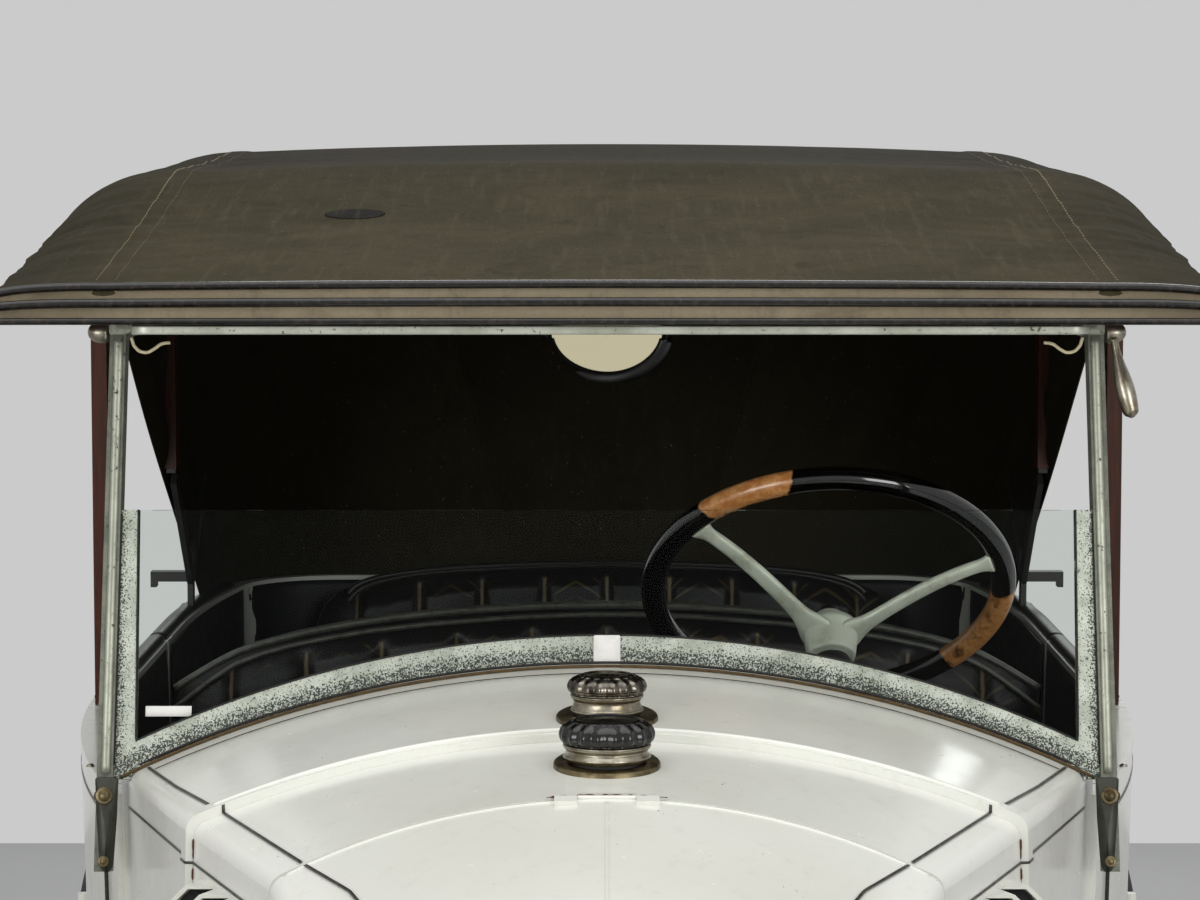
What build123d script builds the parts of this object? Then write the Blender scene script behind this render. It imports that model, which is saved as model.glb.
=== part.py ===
"""A light four-seat touring car of the 1920s: coal-scuttle bonnet, folding cloth hood, opening windscreen.

Millimetres. X runs to the car's left, Y rearwards, Z up. The origin is on the ground, at the middle of the
car's box.
"""

import os
from math import asin, cos, degrees, pi, radians, sin, sqrt, tan

from build123d import *

os.makedirs("parts", exist_ok=True)

# Overall sizes and fits
overall_length = 3720
overall_half_width = 740
nose_y = -overall_length / 2
tail_y = overall_length / 2
seat = 0.3
running_gap = 0.05

# Wheels and axles
tyre_radius = 365
tyre_width = 118
rim_radius = 262
rim_width = 92
rim_flange = 13
rim_sheet = 5
hub_radius = 46
hub_bore = 20
hub_length = 88
nave_reach = 22
front_overhang = 410
rear_overhang = 560
front_axle_y = nose_y + front_overhang
rear_axle_y = tail_y - rear_overhang
wheel_x = 610
king_pin_x = 515
king_pin_radius = 12
king_pin_boss = 26
king_pin_height = 70
beam_height = 56
beam_width = 46
yoke_gap = 1.0
yoke_plate = 16
steering_arm_length = 120
axle_tube = 38
brake_plate_radius = 150
brake_plate_width = 22
torque_tube_radius = 32
torque_tube_front_y = -270
final_drive_radius = 118

# Chassis
rail_outer = 330
rail_width = 40
rail_height = 75
rail_bottom = 510
rail_top = rail_bottom + rail_height
rail_sheet = 4
rail_mid_x = rail_outer - rail_width / 2
cross_member_height = 56
cross_member_width = 50
cross_member_places = (nose_y + 160, -236, 520, tail_y - 220)
handle_bore = 14
handle_boss = 22
handle_boss_length = 70
spring_radius = 2600
spring_leaf = 8
spring_width = 36
spring_eye = 18
spring_leaves = (1.0, 0.82, 0.64, 0.46, 0.28)
spring_half = front_axle_y - nose_y - spring_eye
spring_pad = 10
spring_top_z = tyre_radius + axle_tube + spring_pad + len(spring_leaves) * spring_leaf
spring_eye_z = spring_top_z + spring_radius - sqrt(spring_radius**2 - spring_half**2)
hanger_plate = 6

# Engine and radiator
body_front_y = -260
radiator_half = 255
radiator_y = (body_front_y - 492, body_front_y - 392)
radiator_z = (650, 1120)
engine_half = 135
engine_y = (nose_y + 520, radiator_y[0] - 108)
engine_z = (440, 890)
engine_arms_y = (engine_y[0] + 100, engine_y[1] - 40)
gearbox_half = 105
gearbox_rear_y = -300
gearbox_z = (420, 570)

# Body shell and floor
body_bottom = rail_top + seat
body_top = 1130
wall = 28
floor_sheet = 20
body_half = 612
body_front_half = 498
flare_end_y = 430
taper_start_y = tail_y - 860
body_tail_y = tail_y - 260
body_tail_half = 548
tail_corner = 170
body_lean_in = 12
shut_gap = 6
hinge_out = 13
hinge_radius = 7
hinge_arm = 26
hinge_length = 30
hinge_heights = (700, 868)
door_bottom = 640
front_door_y = (body_front_y + 36, 292)
rear_door_y = (front_door_y[1] + 60, rear_axle_y - 448)
front_door_slant = 75
rear_door_slant = 20
door_corner = 60

# Front body sections: place, half width at the shoulder and at the foot, shoulder and crown heights
rib_y = body_front_y - 330
bonnet_rear_y = body_front_y - 520
bonnet_front_y = nose_y + 540
bonnet_mid_y = 0.555 * bonnet_rear_y + 0.445 * bonnet_front_y
front_body = {
    "screen": dict(y=body_front_y - seat, shoulder=492, foot=480, side_z=1158, crown_z=1270),
    "rib": dict(y=rib_y, shoulder=379, foot=396, side_z=1162, crown_z=1241),
    "bonnet_rear": dict(y=bonnet_rear_y, shoulder=291, foot=345, side_z=1152, crown_z=1224),
    "bonnet_mid": dict(y=bonnet_mid_y, shoulder=226, foot=318, side_z=1104, crown_z=1172),
    "bonnet_front": dict(y=bonnet_front_y, shoulder=188, foot=286, side_z=984, crown_z=1042),
    "nose": dict(y=bonnet_front_y - 200, shoulder=160, foot=250, side_z=826, crown_z=876),
    "nose_tip": dict(y=bonnet_front_y - 286, shoulder=128, foot=206, side_z=668, crown_z=704),
}
shoulder_fillet = 18
scuttle_wall = 8
bonnet_sheet = 4
bonnet_gap = 5
bonnet_foot = 612
rib_width = 18
rib_height = 7
bonnet_hinge_half = 25
bonnet_hinge_radius = 2.2
bonnet_hinge_y = bonnet_rear_y - bonnet_gap / 2
bonnet_hinge_z = front_body["bonnet_rear"]["crown_z"]
bonnet_leaf = 20
bonnet_leaf_length = 12
scoop_count = 4
scoop_z = (690, 1118)
scoop_depth = 38
scoop_half_length = 14
scoop_sheet = 3
scoop_corner = 12

# Wings and running boards
wing_radius = 430
wing_inner = 476
wing_sheet = 4
wing_crown = 18
wing_lip = 22
wing_front_angle = 150
wing_leave_angle = 40
wing_foot_radius = 400
rear_wing_end_angle = -6
board_top = 372
board_thick = 24
board_inner = 586
board_bracket_shares = (0.12, 0.54, 0.93)
valance_sheet = 4
stay_radius = 9
stay_x = rail_outer + 16
front_stay_y = front_axle_y + 24
rear_stay_y = front_axle_y + 434
rear_stay_z = rail_bottom + 14

# Windscreen
screen_rake = 10
screen_base_y = body_front_y - 25
screen_base_z = 1150
header_z = 1598
pillar_inner = front_body["screen"]["shoulder"] + 1
pillar_width = 16
pillar_lean = 8
pillar_depth = 26
screen_channel = 22
screen_channel_depth = 16
screen_split_z = 1416
glass = 6
upper_pane_depth = 188
upper_pane_half = pillar_inner - pillar_lean - 5
upper_pane_rim = 10

# Hood sections: place, half width, crown, seam and edge heights
bow_places = (front_door_y[1] + 38, taper_start_y - 20)
hood = {
    "header": dict(y=body_front_y - 80, half=body_half - 14, crown_z=1650, seam_z=1647, edge_z=1640, swell=2),
    "first": dict(y=bow_places[0], half=body_half - 2, crown_z=1763, seam_z=1752, edge_z=1694, swell=14),
    "second": dict(y=bow_places[1], half=body_half - 2, crown_z=1787, seam_z=1776, edge_z=1716, swell=14),
    "rear": dict(y=body_tail_y + 4, half=body_half - 6, crown_z=1716, seam_z=1704, edge_z=1650, swell=14),
}
hood_seam_x = body_half - 121
hood_sheet = 8
hood_hem_z = 1611
hood_tail_y = body_tail_y - 8
hood_side_edge = (
    (bow_places[0], 1652), (bow_places[0] + 230, 1622),
    (bow_places[0] + 360, 1520), (body_tail_y - 310, 1120),
)
header_y = (body_front_y - 71, body_front_y + 64)
header_board = 24
rear_bow_y = body_tail_y - 200
rear_bow_z = 1600
bow_width = 34
bow_depth = 18
second_bow_z = 1350
hood_leg_y = body_tail_y - 436
hood_rest_z = (1172, 1186)
hood_rest_reach = 60
hood_rest_width = 22
hood_foot_half = 34
hood_iron = 8
hood_iron_height = 26
rear_window_z = 1498
rear_window_half = (95, 61)

# Seats, dash and steering
seat_clear = 6
front_seat_half = body_half - wall - 2 * seat_clear
rear_seat_half = wing_inner - 10
front_box_y = (130, 652)
front_cushion_y = (120, 572)
front_cushion_z = (790, 905)
front_back_y = (576, 598, 652)
front_back_z = (1150, 1229)
rear_box_y = (body_tail_y - 534, body_tail_y - 40)
rear_cushion_y = (body_tail_y - 544, body_tail_y - 130)
rear_cushion_z = (780, 895)
rear_back_y = (body_tail_y - 126, body_tail_y - 104, body_tail_y - 40)
rear_back_z = (1140, 1176)
dash_y = body_front_y - 40
dash_sheet = 14
dash_bottom = 1010
wheel_rim_radius = 196
wheel_rim_tube = 14
wheel_centre = (248, body_front_y + 400, 1290)
wheel_dish = 78
wheel_hub_radius = 34
wheel_hub_height = 42
spoke_width = 24
spoke_thickness = 8
spoke_angles = (-18, -141, -260)
column_rake = 46
column_radius = 20
steering_box_z = 520

# Lamps, filler caps and spare wheel
lamp_centre = (405, nose_y + 220, 850)
lamp_radius = 95
lamp_depth = 120
lamp_sheet = 4
lamp_lens = 5
lamp_post_radius = 9
lamp_foot = 18
cap_rows = (dict(y=body_front_y - 245, knob=38), dict(y=body_front_y - 412, knob=46))
cap_flange_radius = 50
cap_flange = 8
cap_neck_radius = 36
cap_neck = 16
cap_height = 24
spare_z = 700
spare_y = tail_y - hub_length / 2 - nave_reach
carrier_y = (tail_y - 149, tail_y - 131)
carrier_z = (530, 570)


def both_sides(part):
    """The piece together with its mirror image on the car's other side."""
    return part + mirror(part, about=Plane.YZ)


def save(part, name):
    """Label a part and write its STEP file."""
    part.label = name
    export_step(part, f"parts/{name}.step")


def front_section(key, inset):
    """One closed cross section of the front body: foot, leaning side, round shoulder and arched top."""
    row = front_body[key]
    foot, shoulder = row["foot"] - inset, row["shoulder"] - inset
    side_z, crown_z = row["side_z"] - inset, row["crown_z"] - inset
    low = body_bottom - 2 * inset
    with BuildSketch(Plane((0, row["y"], 0), x_dir=(1, 0, 0), z_dir=(0, -1, 0))) as section:
        with BuildLine():
            Line((-foot, low), (-shoulder, side_z))
            ThreePointArc((-shoulder, side_z), (0, crown_z), (shoulder, side_z))
            Polyline((shoulder, side_z), (foot, low), (-foot, low))
        make_face()
        fillet(section.vertices().group_by(Axis.Y)[-1], radius=shoulder_fillet)
    return section.sketch


def front_solid(keys, inset=0):
    """A solid lofted in straight lines through the named front sections."""
    with BuildPart() as solid:
        loft([front_section(key, inset) for key in keys], ruled=True)
    return solid.part


def section_at(keys, y, field):
    """A front body size at a place between the two named sections."""
    first, second = front_body[keys[0]], front_body[keys[1]]
    share = (y - first["y"]) / (second["y"] - first["y"])
    return first[field] + share * (second[field] - first[field])


def body_plan(inset, height):
    """The body's outline in plan: flared behind the windscreen, straight, then drawn in to a round tail."""
    half, front, tail_half = body_half - inset, body_front_half - inset, body_tail_half - inset
    tail = body_tail_y - inset
    lead_y, lead_half = body_front_y - 60, front - 24
    with BuildSketch(Plane.XY.offset(height)) as plan:
        with BuildLine():
            Polyline((0, lead_y), (lead_half, lead_y), (front, body_front_y))
            TangentArc((half, flare_end_y), (front, body_front_y), tangent=(0, -1))
            Line((half, flare_end_y), (half, taper_start_y))
            TangentArc((half, taper_start_y), (tail_half, tail), tangent=(0, 1))
            Polyline((tail_half, tail), (0, tail), (0, lead_y))
        make_face()
        fillet(plan.vertices().group_by(Axis.Y)[-1].sort_by(Axis.X)[-1], radius=tail_corner - inset)
        mirror(about=Plane.YZ)
    return plan.sketch


def body_solid(inset=0, extra=0):
    """The body's outline carried down to the sill, leaning in a little towards its foot."""
    with BuildPart() as solid:
        plans = [body_plan(inset, body_top + extra), body_plan(inset + body_lean_in, body_bottom - extra)]
        loft(plans, ruled=True)
        with Locations((0, body_front_y - 50, body_top / 2)):
            Box(3 * body_half, 100, 2 * body_top, mode=Mode.SUBTRACT)
    return solid.part


def body_half_at(y):
    """The body's half width at its top edge, along the flare, the straight part and the drawn-in tail."""
    if y < flare_end_y:
        run, rise, away = flare_end_y - body_front_y, body_half - body_front_half, flare_end_y - y
    else:
        run, rise, away = body_tail_y - taper_start_y, body_half - body_tail_half, max(y - taper_start_y, 0)
    curve_radius = (run**2 + rise**2) / (2 * rise)
    return body_half - curve_radius + sqrt(curve_radius**2 - away**2)


def door_space(y_range, spread, slants):
    """The space of one left door: slanted free edge, upright hinge edge and round lower corners."""
    y_front, y_rear = y_range[0] - spread, y_range[1] + spread
    low, high = door_bottom - spread, body_top + 50
    inner, outer = 350, 850
    front_slant, rear_slant = slants
    with BuildPart() as space:
        with BuildSketch(Plane.XY.offset(low)):
            with BuildLine():
                Polyline(
                    (inner, y_front + front_slant), (outer, y_front - front_slant),
                    (outer, y_rear + rear_slant), (inner, y_rear - rear_slant), close=True,
                )
            make_face()
        extrude(amount=high - low)
        for end in (0, -1):
            foot = space.faces().sort_by(Axis.Z)[0].edges().filter_by(GeomType.LINE)
            fillet(foot.sort_by(Axis.Y)[end], door_corner)
    return space.part


def hood_section(key, inset):
    """One cross section of the hood: arched top between the seams, falling shoulders and upright sides."""
    row = hood[key]
    half, seam = row["half"] - inset, hood_seam_x
    crown_z, seam_z, edge_z = row["crown_z"] - inset, row["seam_z"] - inset, row["edge_z"] - inset
    mid = ((seam + half) / 2 + 12, (seam_z + edge_z) / 2 + row["swell"] - inset / 3)
    low = body_top + seat - 3 * inset
    with BuildSketch(Plane((0, row["y"], 0), x_dir=(1, 0, 0), z_dir=(0, -1, 0))) as section:
        with BuildLine():
            Polyline((-half, edge_z), (-half, low), (half, low), (half, edge_z))
            ThreePointArc((half, edge_z), mid, (seam, seam_z))
            ThreePointArc((seam, seam_z), (0, crown_z), (-seam, seam_z))
            ThreePointArc((-seam, seam_z), (-mid[0], mid[1]), (-half, edge_z))
        make_face()
    return section.sketch


def hood_solid(inset=0):
    """The space under the hood's skin, its tail rounded like the body's."""
    front_y, tail = hood["header"]["y"] + inset, hood_tail_y - inset
    half, tail_half = overall_half_width, body_tail_half - 8 - inset
    shoulder = body_half - inset
    with BuildPart() as solid:
        loft([hood_section(key, inset) for key in hood], ruled=True)
        with BuildSketch(Plane.XY.offset(body_top - 100)):
            with BuildLine():
                Polyline((0, front_y), (half, front_y), (half, taper_start_y), (shoulder, taper_start_y))
                TangentArc((shoulder, taper_start_y), (tail_half, tail), tangent=(0, 1))
                Polyline((tail_half, tail), (0, tail), (0, front_y))
            round_corner = make_face()
            tail_point = round_corner.vertices().group_by(Axis.Y)[-1].sort_by(Axis.X)[-1]
            fillet(tail_point, radius=tail_corner - inset)
            mirror(about=Plane.YZ)
        extrude(amount=800, mode=Mode.INTERSECT)
    return solid.part


def bar(start, end, width, depth):
    """A straight rectangular bar between two points; the width lies across the car."""
    along = Vector(*end) - Vector(*start)
    with BuildPart() as piece:
        with BuildSketch(Plane(start, x_dir=(1, 0, 0), z_dir=along)):
            Rectangle(width, depth)
        extrude(amount=along.length)
    return piece.part


def rod(start, end, radius):
    """A straight round bar between two points."""
    along = Vector(*end) - Vector(*start)
    with BuildPart() as piece:
        with BuildSketch(Plane(start, z_dir=along)):
            Circle(radius)
        extrude(amount=along.length)
    return piece.part


def block(x_range, y_range, z_range):
    """A box between two limits on each axis."""
    size = [high - low for low, high in (x_range, y_range, z_range)]
    with BuildPart() as piece:
        with Locations((x_range[0], y_range[0], z_range[0])):
            Box(*size, align=(Align.MIN, Align.MIN, Align.MIN))
    return piece.part


def tyre(x, y, z=tyre_radius, turned=False):
    """One tyre: a closed ring seated on its rim, with round walls and a crowned tread."""
    bead, bead_top = rim_width / 2 - rim_sheet, rim_radius + rim_flange + 3
    tread, shoulder = 0.36 * tyre_width, tyre_radius - 9
    with BuildPart() as ring:
        with BuildSketch(Plane.XY):
            with BuildLine():
                Polyline((-bead, bead_top), (-bead, rim_radius), (bead, rim_radius), (bead, bead_top))
                ThreePointArc((bead, bead_top), (tyre_width / 2, rim_radius + 50), (tread, shoulder))
                ThreePointArc((tread, shoulder), (0, tyre_radius), (-tread, shoulder))
                ThreePointArc((-tread, shoulder), (-tyre_width / 2, rim_radius + 50), (-bead, bead_top))
            make_face()
        revolve(axis=Axis.X)
    return placed_wheel(ring.part, x, y, z, turned)


def placed_wheel(part, x, y, z, turned):
    """A part turned about X, set at its place; a turned one faces rearwards."""
    spin = Rotation(0, 0, 90) if turned else Rotation(0, 0, 0 if x > 0 else 180)
    return Pos(x, y, z) * spin * part


def disc_wheel(x, y, z=tyre_radius, turned=False):
    """One pressed steel wheel: rim with two flanges, dished disc, hub and nave cap."""
    half, base, flange = rim_width / 2, rim_radius - rim_sheet, rim_radius + rim_flange
    inner, end, bore = -hub_length / 2, hub_length / 2, hub_bore + running_gap
    with BuildPart() as disc:
        with BuildSketch(Plane.XY):
            with BuildLine():
                Polyline(
                    (-half, base), (-half, flange),
                    (-half + rim_sheet, flange), (-half + rim_sheet, rim_radius),
                    (half - rim_sheet, rim_radius), (half - rim_sheet, flange), (half, flange), (half, base),
                    (30, base), (30, base - 9),
                )
                ThreePointArc((30, base - 9), (38, 190), (22, 105))
                Polyline(
                    (22, 105), (30, 88), (30, hub_radius), (end + 16, hub_radius - 6), (end + nave_reach, 26),
                    (end + nave_reach, 0), (end, 0), (end, bore), (inner, bore), (inner, hub_radius),
                    (23, hub_radius), (23, 86), (15, 104),
                )
                ThreePointArc((15, 104), (31, 190), (23, base - 11))
                Polyline((23, base - 11), (23, base), (-half, base))
            make_face()
        revolve(axis=Axis.X)
    return placed_wheel(disc.part, x, y, z, turned)


def chassis_frame():
    """Two channel rails with spring hangers, joined by cross members."""
    rear_y = carrier_y[0] + 2
    hanger_top_z = rail_bottom + 30
    spring_edge = spring_width / 2 + seat
    hanger_places = (rail_mid_x - spring_edge - hanger_plate, rail_mid_x + spring_edge)
    with BuildPart() as frame:
        with BuildSketch(Plane.XZ.offset(-nose_y)):
            with Locations((rail_mid_x, (rail_bottom + rail_top) / 2)):
                Rectangle(rail_width, rail_height)
            with Locations((rail_mid_x - rail_sheet, (rail_bottom + rail_top) / 2)):
                Rectangle(rail_width, rail_height - 2 * rail_sheet, mode=Mode.SUBTRACT)
        extrude(amount=nose_y - rear_y)
        for eye_y in (front_axle_y - spring_half, front_axle_y + spring_half,
                      rear_axle_y - spring_half, rear_axle_y + spring_half):
            for plate_x in hanger_places:
                with BuildSketch(Plane.YZ.offset(plate_x)):
                    with BuildLine():
                        Polyline(
                            (eye_y - spring_eye, hanger_top_z), (eye_y - spring_eye, spring_eye_z),
                            (eye_y - 8, spring_eye_z - spring_eye), (eye_y + 8, spring_eye_z - spring_eye),
                            (eye_y + spring_eye, spring_eye_z), (eye_y + spring_eye, hanger_top_z),
                            close=True,
                        )
                    make_face()
                extrude(amount=hanger_plate)
        mirror(about=Plane.YZ)
        member_half = rail_outer - rail_sheet
        member_z = (rail_bottom + rail_top) / 2
        with Locations([(0, y, member_z) for y in cross_member_places]):
            Box(2 * member_half, cross_member_width, cross_member_height)
            Box(2 * member_half, cross_member_width - 2 * rail_sheet, cross_member_height - 2 * rail_sheet,
                mode=Mode.SUBTRACT)
        with Locations(Location((0, cross_member_places[0], member_z), (90, 0, 0))):
            Cylinder(handle_boss, handle_boss_length)
            Cylinder(handle_bore, 2 * handle_boss_length, mode=Mode.SUBTRACT)
    return frame.part + spare_carrier()


def road_springs():
    """Four semi-elliptic springs, the longest leaf on top with its two eyes, each on a pad above its axle."""
    centre_z = spring_top_z + spring_radius
    start_x = rail_mid_x - spring_width / 2
    with BuildPart() as springs:
        for axle_y in (front_axle_y, rear_axle_y):
            for leaf, reach in enumerate(spring_leaves):
                inner = spring_radius + leaf * spring_leaf
                spread = degrees(asin(spring_half * reach / inner))
                with BuildSketch(Plane.YZ.offset(start_x)):
                    with BuildLine():
                        top = CenterArc((axle_y, centre_z), inner, 270 - spread, 2 * spread)
                        low = CenterArc((axle_y, centre_z), inner + spring_leaf, 270 - spread, 2 * spread)
                        Line(top @ 0, low @ 0)
                        Line(top @ 1, low @ 1)
                    make_face()
                extrude(amount=spring_width)
            with BuildSketch(Plane.YZ.offset(start_x)):
                with Locations((axle_y - spring_half, spring_eye_z), (axle_y + spring_half, spring_eye_z)):
                    Circle(spring_eye)
            extrude(amount=spring_width)
            pad_z = tyre_radius + axle_tube + seat
            with BuildSketch(Plane.XY.offset(pad_z)):
                with Locations((rail_mid_x, axle_y)):
                    Rectangle(spring_width, 96)
            extrude(amount=spring_top_z + 6 - pad_z)
        mirror(about=Plane.YZ)
    return springs.part


def front_axle():
    """The forged front beam with a boss for each king pin."""
    beam_half = king_pin_x - king_pin_boss - 9
    beam_top = tyre_radius + axle_tube
    with BuildPart() as axle:
        with Locations((0, front_axle_y, beam_top - beam_height / 2)):
            Box(2 * beam_half, beam_width, beam_height)
        with Locations((0, front_axle_y, tyre_radius + king_pin_height / 2 - 5 - beam_height / 2)):
            Box(2 * king_pin_x, beam_width, beam_height - 6)
        for x_sign in (-1, 1):
            with Locations((x_sign * king_pin_x, front_axle_y, tyre_radius)):
                Cylinder(king_pin_boss, king_pin_height)
        for x_sign in (-1, 1):
            with Locations((x_sign * king_pin_x, front_axle_y, tyre_radius)):
                Cylinder(king_pin_radius + seat, 2 * king_pin_height, mode=Mode.SUBTRACT)
    return axle.part


def knuckle():
    """The left steering knuckle: fork and pin about the king pin axis, stub axle, steering arm rearwards."""
    plate_z = king_pin_height / 2 + yoke_gap
    web_x = king_pin_x + king_pin_boss + 3
    flange_x = wheel_x - hub_length / 2 - 5
    with BuildPart() as fork:
        for low in (tyre_radius + plate_z, tyre_radius - plate_z - yoke_plate):
            with BuildSketch(Plane.XY.offset(low)):
                with Locations((king_pin_x, front_axle_y)):
                    Circle(king_pin_boss)
                with Locations(((king_pin_x + flange_x) / 2, front_axle_y)):
                    Rectangle(flange_x - king_pin_x, 2 * king_pin_boss)
            extrude(amount=yoke_plate)
        with Locations(((web_x + flange_x) / 2, front_axle_y, tyre_radius)):
            Box(flange_x - web_x, 2 * king_pin_boss, 2 * (plate_z + yoke_plate))
        with Locations((king_pin_x, front_axle_y, tyre_radius)):
            Cylinder(king_pin_radius, 2 * (plate_z + yoke_plate + 4))
        with BuildSketch(Plane.YZ.offset(flange_x)):
            with Locations((front_axle_y, tyre_radius)):
                Circle(hub_bore)
        extrude(amount=wheel_x + hub_length / 2 - 2 - flange_x)
        arm_z = tyre_radius - plate_z - yoke_plate
        with BuildSketch(Plane.XY.offset(arm_z)):
            with BuildLine():
                Polyline(
                    (king_pin_x - 18, front_axle_y), (king_pin_x - 26, front_axle_y + steering_arm_length),
                    (king_pin_x + 2, front_axle_y + steering_arm_length), (king_pin_x + 18, front_axle_y),
                    close=True,
                )
            make_face()
            with Locations((king_pin_x - 12, front_axle_y + steering_arm_length)):
                Circle(16)
        extrude(amount=yoke_plate)
    return fork.part


def rear_axle():
    """The live rear axle: tubes, final drive case, brake plates, stub shafts and torque tube."""
    with BuildPart() as axle:
        with BuildSketch(Plane.XY.offset(tyre_radius)):
            with BuildLine():
                plate_end = wheel_x - hub_length / 2 - 5
                tip = wheel_x + hub_length / 2 - 2
                Polyline(
                    (0, final_drive_radius), (40, final_drive_radius), (88, axle_tube + 22), (130, axle_tube),
                    (plate_end - brake_plate_width, axle_tube),
                    (plate_end - brake_plate_width, brake_plate_radius),
                    (plate_end, brake_plate_radius), (plate_end, hub_bore), (tip, hub_bore), (tip, 0), (0, 0),
                    close=True,
                )
            make_face()
        revolve(axis=Axis((0, 0, tyre_radius), (1, 0, 0)))
        mirror(about=Plane.YZ)
    moved = Pos(0, rear_axle_y, 0) * axle.part
    rear_end, front_end = (0, rear_axle_y - 60, tyre_radius), (0, torque_tube_front_y, gearbox_z[0] + 60)
    tube = rod(rear_end, front_end, torque_tube_radius)
    return moved + tube


def engine():
    """The engine as one plain block with its gearbox and two bearer arms across the rails."""
    block_part = block((-engine_half, engine_half), engine_y, engine_z)
    gearbox = block((-gearbox_half, gearbox_half), (engine_y[1], gearbox_rear_y), gearbox_z)
    arm_half = rail_outer - rail_sheet - seat
    arm_z = (rail_bottom + 20, rail_bottom + 46)
    arms = [block((-arm_half, arm_half), (y - 22, y + 22), arm_z) for y in engine_arms_y]
    return block_part + gearbox + arms[0] + arms[1]


def radiator():
    """The radiator block behind the engine, with its top tank and two feet on the rails."""
    core = block((-radiator_half, radiator_half), radiator_y, radiator_z)
    foot_z = (rail_top + seat, radiator_z[0] + 10)
    feet = both_sides(block((rail_mid_x - 80, rail_mid_x - 18), radiator_y, foot_z))
    soles = both_sides(block((rail_mid_x - 80, rail_mid_x), radiator_y, (rail_top + seat, rail_top + 12)))
    return core + feet + soles


def front_shell(keys, sheet, limits):
    """A shell lofted through the named sections, open at its foot and ends, kept within the given limits."""
    with BuildPart() as shell:
        add(front_solid(keys))
        add(front_solid(keys, inset=sheet), mode=Mode.SUBTRACT)
        add(block(*limits), mode=Mode.INTERSECT)
    return shell.part


def scuttle():
    """The scuttle shell from the windscreen to its front edge, with a raised rib around that edge."""
    keys = ("screen", "rib")
    everywhere = (-body_half, body_half)
    shell = front_shell(keys, scuttle_wall, (everywhere, (rib_y, 0), (body_bottom, 2 * body_top)))
    with BuildPart() as rib:
        add(front_solid(keys, inset=-rib_height))
        add(front_solid(keys, inset=scuttle_wall / 2), mode=Mode.SUBTRACT)
        add(block(everywhere, (rib_y, rib_y + rib_width), (body_bottom, 2 * body_top)), mode=Mode.INTERSECT)
    return shell + rib.part


def scoop_places():
    """The places of the cowl's side scoops, evenly spread between the rib and the bonnet."""
    rear, front = rib_y - 22, bonnet_rear_y + 14
    step = (front - rear) / scoop_count
    return [rear + step * (n + 0.5) for n in range(scoop_count)]


def cowl_side_at(y, z):
    """The half width of the cowl's leaning side at a place and height."""
    keys = ("rib", "bonnet_rear")
    low, high = section_at(keys, y, "foot"), section_at(keys, y, "shoulder")
    share = (z - body_bottom) / (section_at(keys, y, "side_z") - body_bottom)
    return low + share * (high - low)


def scoop_section(y, root, depth, sheet, corner):
    """A section of one scoop's room: an upright trough leaning with the cowl's side, its corners cut off."""
    low, high = scoop_z[0] + sheet, scoop_z[1] - sheet
    with BuildSketch(Plane((0, y, 0), x_dir=(1, 0, 0), z_dir=(0, -1, 0))) as section:
        with BuildLine():
            Polyline(
                (cowl_side_at(y, low) - root, low), (cowl_side_at(y, low) + depth - corner, low),
                (cowl_side_at(y, low) + depth, low + corner), (cowl_side_at(y, high) + depth, high - corner),
                (cowl_side_at(y, high) + depth - corner, high), (cowl_side_at(y, high) - root, high),
                close=True,
            )
        make_face()
    return section.sketch


def scoop_room(y, root, sheet):
    """The room under one left scoop, widening from nothing at its rear to its mouth in front."""
    rear = scoop_section(y + scoop_half_length, root, 2 - sheet, sheet, 1)
    front = scoop_section(y - scoop_half_length, root, scoop_depth - sheet, sheet, scoop_corner)
    with BuildPart() as room:
        loft([rear, front], ruled=True)
    return room.part


def radiator_cowl():
    """The cowl over the radiator: shell, sheet scoops over the side air mouths, and the hinge barrel."""
    keys = ("rib", "bonnet_rear")
    limits = ((-body_half, body_half), (bonnet_rear_y, rib_y - seat), (body_bottom, 2 * body_top))
    barrel_end = (bonnet_hinge_half, bonnet_hinge_y, bonnet_hinge_z)
    leaf_y = (bonnet_hinge_y, bonnet_hinge_y + bonnet_leaf_length)
    leaf_z = (bonnet_hinge_z - bonnet_hinge_radius, bonnet_hinge_z + bonnet_hinge_radius)
    with BuildPart() as cowl:
        add(front_shell(keys, scuttle_wall, limits))
        for y in scoop_places():
            add(both_sides(scoop_room(y, scuttle_wall / 2, 0)))
            add(both_sides(scoop_room(y, 4 * scuttle_wall, scoop_sheet)), mode=Mode.SUBTRACT)
        add(rod((-bonnet_hinge_half, *barrel_end[1:]), barrel_end, bonnet_hinge_radius))
        add(block((-bonnet_hinge_half, bonnet_hinge_half), leaf_y, leaf_z))
    return cowl.part


def bonnet():
    """The one-piece bonnet: a shell closed at its nose, with a hinge leaf on each side of the barrel."""
    keys = ("bonnet_rear", "bonnet_mid", "bonnet_front", "nose", "nose_tip")
    tip_y = front_body["nose_tip"]["y"]
    limits = ((-body_half, body_half), (tip_y - 1, bonnet_rear_y - bonnet_gap), (bonnet_foot, 2 * body_top))
    fall = (bonnet_hinge_z - front_body["bonnet_mid"]["crown_z"]) / (bonnet_rear_y - bonnet_mid_y)
    mid_x = bonnet_hinge_half + seat + bonnet_leaf / 2
    leaf_end = (mid_x, bonnet_hinge_y - bonnet_leaf_length, bonnet_hinge_z - fall * bonnet_leaf_length)
    barrel = [(x, bonnet_hinge_y, bonnet_hinge_z) for x in (mid_x - bonnet_leaf / 2, mid_x + bonnet_leaf / 2)]
    with BuildPart() as lid:
        add(front_solid(keys))
        add(front_solid(keys, inset=bonnet_sheet), mode=Mode.SUBTRACT)
        extrude(front_section("nose_tip", 0), amount=-bonnet_sheet)
        add(block(*limits), mode=Mode.INTERSECT)
        add(both_sides(rod(*barrel, bonnet_hinge_radius)))
        add(both_sides(bar((mid_x, *barrel[0][1:]), leaf_end, bonnet_leaf, 2 * bonnet_hinge_radius)))
    return lid.part


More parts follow.
